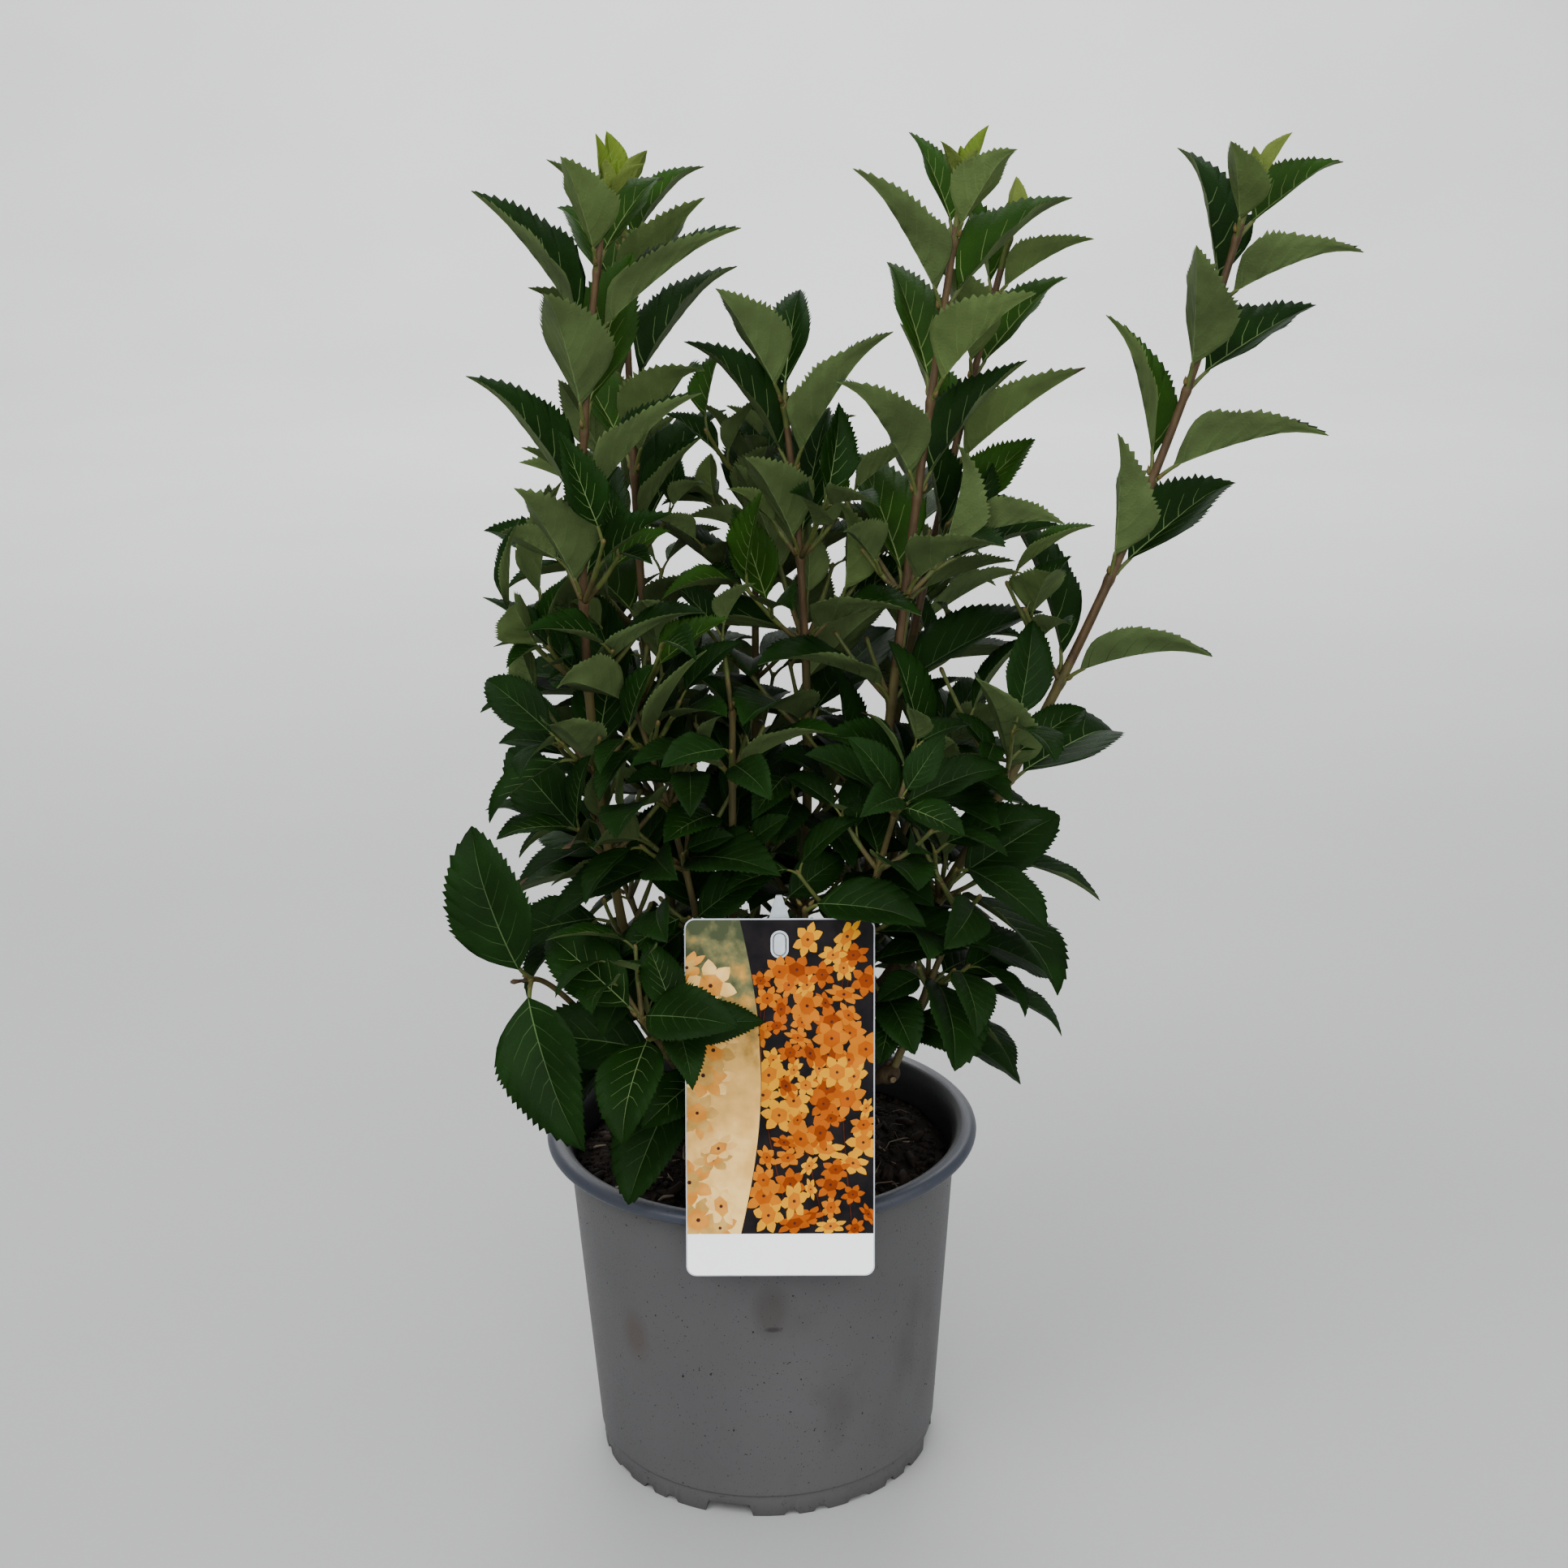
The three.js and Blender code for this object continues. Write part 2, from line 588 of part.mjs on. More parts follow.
/** Grows a leaf where there is room for it, and skips it where there is none. */
function growLeaf(place, plan, mass, room) {
  for (const [turn, tilt, size] of TRIES) {
    const tried = leafAt(place, {
      ...plan,
      bearing: plan.bearing + turn,
      spread: plan.spread + tilt,
      length: plan.length * size,
    });
    const feelers = bladeFeelers(tried);
    const petiole = petioleFeelers(tried);
    if (mass.holds(feelers.at(-1)) && room.isClear(feelers, BLADE_ROOM, mass.name)
      && room.isClear(petiole, PETIOLE_ROOM, mass.name, false)) {
      room.claim(feelers, BLADE_ROOM, mass.name);
      room.claim(petiole, PETIOLE_ROOM, mass.name);
      mass.leaves.push(tried);
      return;
    }
  }
}

/** Grows one shoot: its stem and its pairs of leaves. Its twigs are planned for later. */
function growShoot(shoot, mass, room, random) {
  const { curve, radii, pairs } = shoot;
  const { spreadOverTwigs } = POSTURE;
  mass.stems.push(shoot);
  for (let pair = 0; pair < pairs; pair += 1) {
    const share = pairShare(pair, shoot);
    const centre = curve.getPoint(share);
    const along = curve.getTangent(share);
    const tangent = sum(along, [lightAt(centre), shoot.light]).normalize();
    const place = { centre, along, tangent, stemRadius: radii[0] + (radii[1] - radii[0]) * share };
    const size = shoot.tipSizes[pairs - 1 - pair] ?? 1;
    const shade = THREE.MathUtils.clamp((SHADE.high - centre.z) / (SHADE.high - SHADE.low), 0, 1);
    const spread = POSTURE.spread + POSTURE.spreadInShade * shade;
    const bearsTwigs = pair < shoot.twigs;
    for (const half of [0, 180]) {
      const plan = {
        length: shoot.leaf * size * (1 + VARY.length * random()),
        width: LEAF.slim + (LEAF.broad - LEAF.slim) * shade,
        bearing: shoot.bearing + 90 * pair + half + VARY.bearing * random(),
        spread: spread * (size < SMALL ? 0.5 : 1) + (bearsTwigs ? spreadOverTwigs : 0) + VARY.spread * random(),
        curl: POSTURE.curl + POSTURE.curlInShade * shade + VARY.curl * random(),
        fold: POSTURE.fold + POSTURE.foldInShade * shade + VARY.fold * random(),
      };
      if (bearsTwigs) mass.twigs.push({ place, bearing: plan.bearing, leaf: shoot.leaf });
      growLeaf(place, plan, mass, room);
    }
  }
}

/** Grows a side twig from the axil of a leaf, where there is room for its stem. */
function growTwig({ place, bearing, leaf }, mass, room, random) {
  const reach = leaf * (TWIG.length + TWIG.vary * random());
  for (const turn of TWIG_TURNS) {
    const out = outward(place.tangent, bearing + turn);
    const tip = sum(place.centre, [out, TWIG.out * reach], [UP, TWIG.rise * reach]);
    const bow = sum(out.clone().multiplyScalar(TWIG.bow * reach), [UP, -TWIG.sag * reach]);
    const curve = bowed(place.centre, tip, bow);
    const near = pointsAlong(curve, CLAIM_SPACING);
    const far = pointsAlong(curve, CLAIM_SPACING, TWIG.free);
    if (room.isClear(far, TWIG_ROOM, mass.name) && room.isClear(near, TWIG_ROOM, mass.name, false)) {
      room.claim(near, TWIG_ROOM, mass.name, true);
      growShoot({
        curve, radii: TWIG.radii, sides: 3, pairs: TWIG.pairs, bearing: bearing + 90,
        leaf: TWIG.leaf * leaf, twigs: 0, light: TWIG.light, first: TWIG.first, tipSizes: RESTED_TIP,
      }, mass, room, random);
      return;
    }
  }
}

/** The stem of a mass, from its bough's knuckle to its tip. */
function mainShoot(plan, bough) {
  const foot = bough.curve.getPoint(plan.from ?? 1);
  const tip = vec(...plan.tip);
  const usual = foot.distanceTo(tip) > STEM.tallOver ? STEM.tall : STEM.low;
  return {
    curve: bowed(foot, tip, vec(...(plan.bow ?? [0, 0, 0]))),
    radii: usual.radii,
    sides: 4,
    pairs: plan.pairs,
    bearing: plan.bearing ?? 0,
    leaf: plan.leaf,
    twigs: plan.twigs,
    light: plan.light ?? usual.light,
    first: plan.first ?? usual.first,
    crowd: plan.crowd,
    tipSizes: plan.young ? YOUNG_TIP : RESTED_TIP,
  };
}

/** The masses of foliage, all grown in the same room: first their own leaves, then twigs. */
function growMasses(boughs) {
  const room = new Room();
  for (const [name, { curve, radii }] of Object.entries(boughs)) {
    room.claim(pointsAlong(curve, CLAIM_SPACING), radii[0], name, true);
  }
  claimLabel(room);
  const masses = Object.entries(MASSES).map(([name, plan]) => {
    const shoot = mainShoot(plan, boughs[plan.bough]);
    const middle = pointsAlong(shoot.curve, SPACE_SPACING);
    const holds = (tip) => middle.some((point) => point.distanceTo(tip) < (plan.reach ?? REACH));
    const random = chance(plan.seed);
    return { name, bough: plan.bough, shoot, holds, random, stems: [], leaves: [], twigs: [] };
  });
  for (const { name, shoot } of masses) {
    room.claim(pointsAlong(shoot.curve, CLAIM_SPACING), shoot.radii[0] + STEM.room, name, true);
  }
  for (const mass of masses) growShoot(mass.shoot, mass, room, mass.random);
  for (const mass of masses) {
    for (const twig of [...mass.twigs]) growTwig(twig, mass, room, mass.random);
  }
  return masses;
}

// -------------------------------------------------------------------------- assembly

const forsythia = new THREE.Group();
forsythia.add(node('pot', pot(), FINISH.pot));
forsythia.add(node('soil', soil(upright(GAP)), FINISH.soil));
forsythia.add(node('label_card', card(), FINISH.card));
forsythia.add(node('label_stick', stick(), FINISH.stick));
forsythia.add(node('root_crown', crown(), FINISH.bark));

const crownHead = vec(0, 0, SOIL.top + CROWN.headHeight);
const boughs = Object.fromEntries(Object.entries(BOUGHS).map(([name, { tip, radii, bow }]) => {
  const end = vec(...tip);
  const out = vec(end.x, end.y, 0).normalize().multiplyScalar(bow);
  return [name, { curve: bowed(crownHead, end, out), radii }];
}));
let taken = crown(GAP);
for (const [name, bough] of Object.entries(boughs)) {
  forsythia.add(node(`bough_${name}`, boughSolid(bough).subtract(taken), FINISH.bark));
  taken = taken.add(boughSolid(bough, GAP));
}

for (const mass of growMasses(boughs)) {
  const stems = mass.stems.map(({ curve, radii, sides, pairs }) => (
    limb(curve, (share) => radii[0] + (radii[1] - radii[0]) * share, sides, sides === 3 ? 2 : Math.max(4, pairs - 1))));
  const whole = join([...stems, ...mass.leaves.map(leafSolid)]).subtract(boughSolid(boughs[mass.bough], GAP));
  forsythia.add(node(`foliage_${mass.name}`, whole, FINISH.leaves));
}

export default forsythia;
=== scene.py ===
"""A young forsythia in a round nursery pot, with its picture label on a stick.

Everything is in metres, +Z up, and the origin is the centre of the pot's flat underside.
The plant grows by one rule. Boughs rise from a root crown and end in pruned knuckles. A
mass of foliage is one stem from a bough, with side twigs. Leaves stand in opposite
pairs, each pair a quarter turn from the pair below, wherever there is free room.
"""

import logging  # noqa: E402
import math  # noqa: E402
from dataclasses import dataclass, field, replace  # noqa: E402
from enum import Enum, IntEnum  # noqa: E402
from typing import Callable, Sequence  # noqa: E402

import bpy  # noqa: E402
import numpy as np  # noqa: E402
from mathutils import Matrix, Vector  # noqa: E402


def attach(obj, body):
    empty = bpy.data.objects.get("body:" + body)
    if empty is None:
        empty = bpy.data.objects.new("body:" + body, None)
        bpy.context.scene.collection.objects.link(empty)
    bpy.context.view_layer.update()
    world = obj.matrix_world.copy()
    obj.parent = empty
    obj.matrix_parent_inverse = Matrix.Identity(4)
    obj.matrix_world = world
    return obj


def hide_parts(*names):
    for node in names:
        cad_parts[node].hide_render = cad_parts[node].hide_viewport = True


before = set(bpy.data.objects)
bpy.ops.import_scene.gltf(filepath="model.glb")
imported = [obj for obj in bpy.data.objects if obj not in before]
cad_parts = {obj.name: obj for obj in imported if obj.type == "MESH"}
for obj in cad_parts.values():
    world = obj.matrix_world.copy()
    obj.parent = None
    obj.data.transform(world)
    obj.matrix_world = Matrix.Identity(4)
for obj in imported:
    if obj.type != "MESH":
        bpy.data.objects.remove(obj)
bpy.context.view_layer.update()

LOG = logging.getLogger("forsythia")
UP = np.array([0.0, 0.0, 1.0])

Pair = tuple[float, float]
Point = tuple[float, float, float]
Colour = tuple[float, float, float]
Array = np.ndarray
Piece = bpy.types.Object
Socket = bpy.types.NodeSocket
Sockets = bpy.types.bpy_prop_collection
Feeds = dict[str | int, object]


# ---- chance and curves


class Chance:
    """A repeatable stream of numbers from -1 to 1."""

    STEP, SHIFT, SPAN = 1664525, 1013904223, 2**32
    SEED_STEP, SEED_SHIFT = 7919, 17

    def __init__(self, seed: int) -> None:
        """Starts the stream of a seed; the same seed gives the same stream."""
        self.state = seed * self.SEED_STEP + self.SEED_SHIFT

    def draw(self) -> float:
        """Returns: the next number of the stream."""
        self.state = (self.state * self.STEP + self.SHIFT) % self.SPAN
        return 2.0 * self.state / self.SPAN - 1.0


def unit(vector: Array) -> Array:
    """Returns: the vector, or each row of vectors, at length one."""
    return vector / np.linalg.norm(vector, axis=-1, keepdims=True)


class Bow:
    """A line from foot to tip whose middle is pulled aside."""

    STEPS = 201

    def __init__(self, foot: Sequence[float], tip: Sequence[float], pull: Sequence[float]) -> None:
        """Starts the line at foot and ends it at tip, its control point this far off its middle."""
        self.foot, self.tip = np.array(foot, float), np.array(tip, float)
        self.control = (self.foot + self.tip) / 2 + np.array(pull, float)

    def point(self, share: float | Array) -> Array:
        """Returns: the point, or one row for each share, at a share of the line."""
        s = np.asarray(share, float)[..., None]
        return (1 - s) ** 2 * self.foot + 2 * s * (1 - s) * self.control + s**2 * self.tip

    def tangent(self, share: float | Array) -> Array:
        """Returns: the way on along the line at a share of it."""
        s = np.asarray(share, float)[..., None]
        return unit((1 - s) * (self.control - self.foot) + s * (self.tip - self.control))

    def length(self) -> float:
        """Returns: the length of the line."""
        points = self.point(np.linspace(0, 1, self.STEPS))
        return float(np.linalg.norm(np.diff(points, axis=0), axis=1).sum())

    def spaced(self, spacing: float, start: float = 0.0) -> Array:
        """Returns: points about this far apart, from a share of the line to its end."""
        steps = max(2, math.ceil(self.length() / spacing))
        return self.point(np.linspace(start, 1, steps + 1))


def round_angles(count: int) -> Array:
    """Returns: this many angles, evenly spaced round a circle."""
    return np.linspace(0, 2 * math.pi, count, endpoint=False)


def turned(radii: Array, heights: Array | float, angles: Array) -> Array:
    """Returns: points at these distances from the Z axis, heights and angles."""
    return np.stack(np.broadcast_arrays(radii * np.cos(angles), radii * np.sin(angles), heights), -1)


def ripple(points: Array, wavelength: float, seed: int) -> Array:
    """Returns: a smooth uneven height at each point, about -1 to 1, with crests this far apart."""
    waves = np.random.default_rng(seed)
    ways = unit(waves.normal(size=(7, 3))) * 2 * math.pi / (wavelength * waves.uniform(0.6, 1.7, (7, 1)))
    phases = waves.uniform(0, 2 * math.pi, 7)
    return np.sin(points @ ways.T + phases).sum(-1) / 2.6


# ---- finishes


LAMP_GAIN = 2.1
ZERO, ONE = (0.0, 0.0, 0.0), (1.0, 1.0, 1.0)


def bright(*channels: float) -> Colour:
    """Returns: a screen colour, 0 to 255 a channel, as the light that it stands for."""
    return tuple(((c / 255 + 0.055) / 1.055) ** 2.4 if c > 10 else c / 3295 for c in channels)


def shade(*channels: float) -> Colour:
    """Returns: the surface colour that looks like this screen colour under the strong lamps."""
    return tuple(c / LAMP_GAIN for c in bright(*channels))


class Nodes:
    """A tree of nodes, and short ways to add to it."""

    def __init__(self, tree: bpy.types.NodeTree) -> None:
        """Takes the tree to add to."""
        self.tree = tree

    def feed(self, inputs: Sockets, feeds: Feeds) -> None:
        """Joins each of these inputs to an output, or sets it to a value."""
        for key, value in feeds.items():
            if isinstance(value, Socket):
                self.tree.links.new(value, inputs[key])
            else:
                inputs[key].default_value = value

    def add(self, kind: str, feeds: Feeds, **values: object) -> Sockets:
        """Adds a node.

        Args:
            kind: the node's type.
            feeds: for each input, the output that it is joined to, or its value.
            values: the node's own settings.

        Returns:
            The new node's outputs.
        """
        node = self.tree.nodes.new(kind)
        for key, value in values.items():
            setattr(node, key, value)
        self.feed(node.inputs, feeds)
        return node.outputs


class Wiring(Nodes):
    """The nodes of one material."""

    def __init__(self, name: str) -> None:
        """Starts a new material of this name, and finds its shader and each point's place."""
        self.material = bpy.data.materials.new(name)
        self.material.use_nodes = True
        super().__init__(self.material.node_tree)
        self.shader = self.tree.nodes["Principled BSDF"].inputs
        self.place = self.add("ShaderNodeTexCoord", {})["Object"]

    def mapped(self, scale: Sequence[float], shift: Sequence[float] = ZERO) -> Socket:
        """Returns: each point's place on the piece, scaled and shifted."""
        feeds = {"Scale": scale, "Location": shift, "Vector": self.place}
        return self.add("ShaderNodeMapping", feeds)["Vector"]

    def noise(self, scale: float, detail: float, stretch: Point = ONE) -> Socket:
        """Returns: a noise of so many waves in a metre, closer by a share along each axis."""
        feeds = {"Scale": scale, "Detail": detail, "Vector": self.mapped(stretch)}
        return self.add("ShaderNodeTexNoise", feeds)["Fac"]

    def ball(self, middle: Point, reach: Point) -> Socket:
        """Returns: how near each point is to a middle, 1 there and 0 from this reach along each axis."""
        place = self.mapped([1 / r for r in reach], [-m / r for m, r in zip(middle, reach)])
        return self.add("ShaderNodeTexGradient", {"Vector": place}, gradient_type="SPHERICAL")["Fac"]

    def ramp(self, strength: Socket, stops: Sequence[tuple[float, Colour]]) -> Socket:
        """Returns: the colour that each strength has on a ramp with these stops."""
        colour = self.add("ShaderNodeValToRGB", {"Fac": strength})["Color"]
        elements = colour.node.color_ramp.elements
        while len(elements) < len(stops):
            elements.new(0.5)
        for element, (position, tint) in zip(elements, stops):
            element.position, element.color = position, (*tint, 1.0)
        return colour

    def spread(self, strength: Socket, low: float, high: float, ends: Pair = (0.3, 0.7)) -> Socket:
        """Returns: a strength whose part between two ends is spread from low to high."""
        feeds = {"From Min": ends[0], "From Max": ends[1], "To Min": low, "To Max": high, "Value": strength}
        return self.add("ShaderNodeMapRange", feeds)["Result"]

    def blend(self, base: Socket, over: Colour, share: Socket) -> Socket:
        """Returns: a colour with this share of another laid over it."""
        return self.add("ShaderNodeMix", {0: share, 6: base, 7: (*over, 1.0)}, data_type="RGBA")[2]


@dataclass(frozen=True)
class Finish:
    """A surface: two near colours in patches, its gloss, and a fine relief."""

    name: str
    dark: Colour
    light: Colour
    patches: float = 60.0
    rough: Pair = (0.45, 0.6)
    specular: float = 0.3
    grain: float = 900.0
    depth: float = 0.0002
    stretch: Point = ONE
    clear: float = 0.0

    def wire(self) -> Wiring:
        """Returns: the nodes of this finish."""
        wiring = Wiring(self.name)
        patches = wiring.noise(self.patches, 5.0, self.stretch)
        grain = wiring.noise(self.grain, 3.0, self.stretch)
        wiring.feed(wiring.shader, {
            "Specular IOR Level": self.specular,
            "Subsurface Weight": self.clear,
            "Subsurface Scale": 0.002,
            "Base Color": wiring.ramp(patches, [(0.36, self.dark), (0.64, self.light)]),
            "Roughness": wiring.spread(grain, *self.rough),
            "Normal": wiring.add("ShaderNodeBump", {"Distance": self.depth, "Height": grain})["Normal"],
        })
        return wiring

    def make(self) -> bpy.types.Material:
        """Returns: the material of this finish, made once and shared."""
        return bpy.data.materials.get(self.name) or self.wire().material


@dataclass(frozen=True)
class PotFinish(Finish):
    """Moulded plastic, with faint smears round the wall and a dusting of dark specks."""

    smear: Colour = shade(104, 103, 102)
    rub: Colour = shade(72, 62, 52)
    speck: Colour = shade(34, 30, 27)
    specks: tuple[Pair, ...] = ((640.0, 0.735), (1500.0, 0.72))
    smudges: tuple[tuple[Point, Point, Colour, float], ...] = ()

    def wire(self) -> Wiring:
        """Returns: the nodes of this finish."""
        wiring = super().wire()
        smears = wiring.spread(wiring.noise(9.0, 6.0, (1.0, 1.0, 2.6)), 0.0, 0.4)
        rubs = wiring.spread(wiring.noise(13.0, 7.0, (1.0, 1.0, 0.6)), -1.3, 0.5)
        layers = [(self.smear, smears), (self.rub, rubs)]
        for scale, start in self.specks:
            mask = wiring.ramp(wiring.noise(scale, 1.0), [(start, ZERO), (start + 0.02, ONE)])
            layers.append((self.speck, mask))
        for middle, reach, tint, strength in self.smudges:
            mask = wiring.ramp(wiring.ball(middle, reach), [(0.0, ZERO), (0.55, (strength,) * 3)])
            layers.append((tint, mask))
        colour = wiring.shader["Base Color"].links[0].from_socket
        for tint, share in layers:
            colour = wiring.blend(colour, tint, share)
        wiring.feed(wiring.shader, {"Base Color": colour})
        return wiring


@dataclass(frozen=True)
class FadeFinish(Finish):
    """A print that fades from colour to colour on its way up, with uneven edges."""

    ends: Pair = (0.0, 1.0)
    fade: tuple[tuple[float, Colour], ...] = ()

    def wire(self) -> Wiring:
        """Returns: the nodes of this finish."""
        wiring = super().wire()
        height = wiring.add("ShaderNodeSeparateXYZ", {0: wiring.place})["Z"]
        uneven = wiring.spread(wiring.noise(self.patches, 7.0), -0.20, 0.20)
        share = wiring.add("ShaderNodeMath", {0: wiring.spread(height, 0.0, 1.0, self.ends), 1: uneven})[0]
        wiring.feed(wiring.shader, {"Base Color": wiring.ramp(share, self.fade)})
        return wiring


# ---- building meshes


def in_scene(name: str, data: bpy.types.ID) -> Piece:
    """Returns: a new object of this data, linked to the scene."""
    thing = bpy.data.objects.new(name, data)
    bpy.context.scene.collection.objects.link(thing)
    return thing


def final_mesh(thing: Piece) -> bpy.types.Mesh:
    """Returns: the plain mesh that an object comes to with its modifiers."""
    graph = bpy.context.evaluated_depsgraph_get()
    return bpy.data.meshes.new_from_object(thing.evaluated_get(graph), depsgraph=graph)


def settle(piece: Piece, nodes: Sequence[str] = ()) -> Piece:
    """Makes a finished piece ride on the pot's body.

    Args:
        piece: the finished object.
        nodes: the plain solids that it stands for.

    Returns:
        The same piece.
    """
    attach(piece, "root")
    if nodes:
        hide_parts(*nodes)
    LOG.info("%s: %d faces", piece.name, len(piece.data.polygons))
    return piece


class MeshStock:
    """Points and faces that are gathered and then made into one object."""

    def __init__(self) -> None:
        """Starts an empty stock."""
        self.points: list[Array] = []
        self.loops: list[Array] = []
        self.counts: list[Array] = []
        self.slots: list[Array] = []
        self.total = 0

    def add(self, points: Array, loops: Array, counts: Array, slots: Array | int) -> None:
        """Adds one patch of faces.

        Args:
            points: one row for each point.
            loops: the corners of all faces, one face after the other.
            counts: the number of corners of each face.
            slots: the material slot of each face, or of all of them.
        """
        self.points.append(points)
        self.loops.append(loops + self.total)
        self.counts.append(counts)
        self.slots.append(np.broadcast_to(slots, counts.shape))
        self.total += len(points)

    def add_rings(
        self, rings: Array, slots: Array | int = 0, ends: Sequence[int] = (0, -1), hubs: Sequence[Point] = ()
    ) -> None:
        """Adds the skin over closed rings of points, first the sides and then the ends.

        Args:
            rings: points as (ring, side, 3), each ring anticlockwise about the way on.
            slots: the material slot of each stretch between rings, or of all.
            ends: which rings are closed over: 0 for the first, -1 for the last.
            hubs: for each end, the point that its faces meet at; without, an end is one face.
        """
        count, sides = rings.shape[:2]
        start, side = np.arange(count - 1)[:, None] * sides, np.arange(sides)
        here, beside = start + side, start + np.roll(side, -1)
        faces = [np.stack([here, beside, beside + sides, here + sides], -1).reshape(-1, 4)]
        each = np.broadcast_to(slots, count - 1)
        tones = [np.repeat(each, sides)]
        for number, end in enumerate(ends):
            ring = side[::-1] if end == 0 else side + (count - 1) * sides
            if hubs:
                hub = np.full(sides, count * sides + number)
                faces.append(np.stack([hub, ring, np.roll(ring, -1)], -1))
            else:
                faces.append(ring[None])
            tones.append(np.full(len(faces[-1]), each[end]))
        self.add(
            np.concatenate([rings.reshape(-1, 3), np.array(hubs, float).reshape(-1, 3)]),
            np.concatenate([group.ravel() for group in faces]),
            np.concatenate([np.full(len(group), group.shape[1]) for group in faces]),
            np.concatenate(tones),
        )

    def add_mesh(self, mesh: bpy.types.Mesh, slot: int) -> None:
        """Adds a finished mesh, all in one slot, and removes it."""
        points = np.zeros(len(mesh.vertices) * 3)
        mesh.vertices.foreach_get("co", points)
        loops = np.zeros(len(mesh.loops), np.int64)
        mesh.loops.foreach_get("vertex_index", loops)
        counts = np.zeros(len(mesh.polygons), np.int64)
        mesh.polygons.foreach_get("loop_total", counts)
        self.add(points.reshape(-1, 3), loops, counts, slot)
        bpy.data.meshes.remove(mesh)

    def build(self, name: str, *finishes: Finish) -> Piece:
        """Makes the object, smooth shaded, at the origin.

        Args:
            name: the piece's name.
            finishes: one for each slot.

        Returns:
            The new object, linked to the scene.
        """
        mesh = bpy.data.meshes.new(name)
        counts = np.concatenate(self.counts)
        loops = np.concatenate(self.loops)
        mesh.vertices.add(self.total)
        mesh.vertices.foreach_set("co", np.concatenate(self.points).astype(np.float32).ravel())
        mesh.loops.add(len(loops))
        mesh.loops.foreach_set("vertex_index", loops.astype(np.int32))
        mesh.polygons.add(len(counts))
        mesh.polygons.foreach_set("loop_start", (np.cumsum(counts) - counts).astype(np.int32))
        mesh.polygons.foreach_set("material_index", np.concatenate(self.slots).astype(np.int32))
        mesh.polygons.foreach_set("use_smooth", np.ones(len(counts), bool))
        mesh.update(calc_edges=True)
        for finish in finishes:
            mesh.materials.append(finish.make())
        return in_scene(name, mesh)


def rings_round(centres: Array, radii: Sequence[float] | Array, sides: int) -> Array:
    """Rings of points round a line, turned as little as the line allows.

    Args:
        centres: points of the line.
        radii: the radius of each ring, or of each point of each ring.
        sides: points in a ring.

    Returns:
        The points as (ring, side, 3).
    """
    ways = unit(np.gradient(centres, axis=0))
    across = unit(np.cross(ways[0], [0.31, 0.95, 0.07]))
    frames = []
    for way in ways:
        across = unit(across - way * (across @ way))
        frames.append((across, np.cross(way, across)))
    first, second = np.array(frames).transpose(1, 0, 2)[:, :, None]
    angles = round_angles(sides)[None, :, None]
    sizes = np.array(radii, float)
    sizes = sizes if sizes.ndim == 2 else sizes[:, None]
    return centres[:, None] + (np.cos(angles) * first + np.sin(angles) * second) * sizes[..., None]


def rounded_end(ring: Array, middle: Array, rise: Array, angles: Sequence[float]) -> list[Array]:
    """Returns: smaller and smaller copies of a ring that round off its end, up to this rise."""
    return [middle + rise * math.sin(a) + (ring - middle) * math.cos(a) for a in angles]


def small_tube(name: str, points: Sequence[Point], radii: Sequence[float], sides: int) -> Piece:
    """Returns: a closed tube of a few sides along these points, to strew."""
    stock = MeshStock()
    stock.add_rings(rings_round(np.array(points, float), radii, sides))
    return stock.build(name)


def crumb(name: str, radius: float, seed: int) -> Piece:
    """Returns: a small uneven lump of twenty faces, flattened towards the ground."""
    golden = (1 + 5**0.5) / 2
    corners = [(a, b * golden, 0.0) for a in (-1, 1) for b in (-1, 1)]
    corners = np.array([c[k:] + c[:k] for c in corners for k in range(3)], float)
    uneven = np.random.default_rng(seed).uniform(0.7, 1.25, (12, 1))
    corners = unit(corners) * radius * uneven * [1.0, 0.8, 0.6]
    distances = np.linalg.norm(unit(corners)[:, None] - unit(corners)[None], axis=-1)
    near = (distances < 1.35) & (distances > 0.1)
    faces = [
        (a, b, c)
        for a in range(12) for b in range(a + 1, 12) for c in range(b + 1, 12)
        if near[a, b] and near[b, c] and near[a, c]
    ]
    outward = [f if np.linalg.det(corners[list(f)]) > 0 else f[::-1] for f in faces]
    stock = MeshStock()
    stock.add(corners, np.array(outward).ravel(), np.full(len(outward), 3), 0)
    return stock.build(name)


# ---- scattered pieces


@dataclass(frozen=True)
class Strewing:
    """How a grain is strewn.

    The density is the number of grains in a square metre, the sizes are the smallest and
    the largest share of the grain's size, and the tumble is how far a grain tips over.
    """

    density: float
    sizes: Pair
    tumble: float
    seed: int


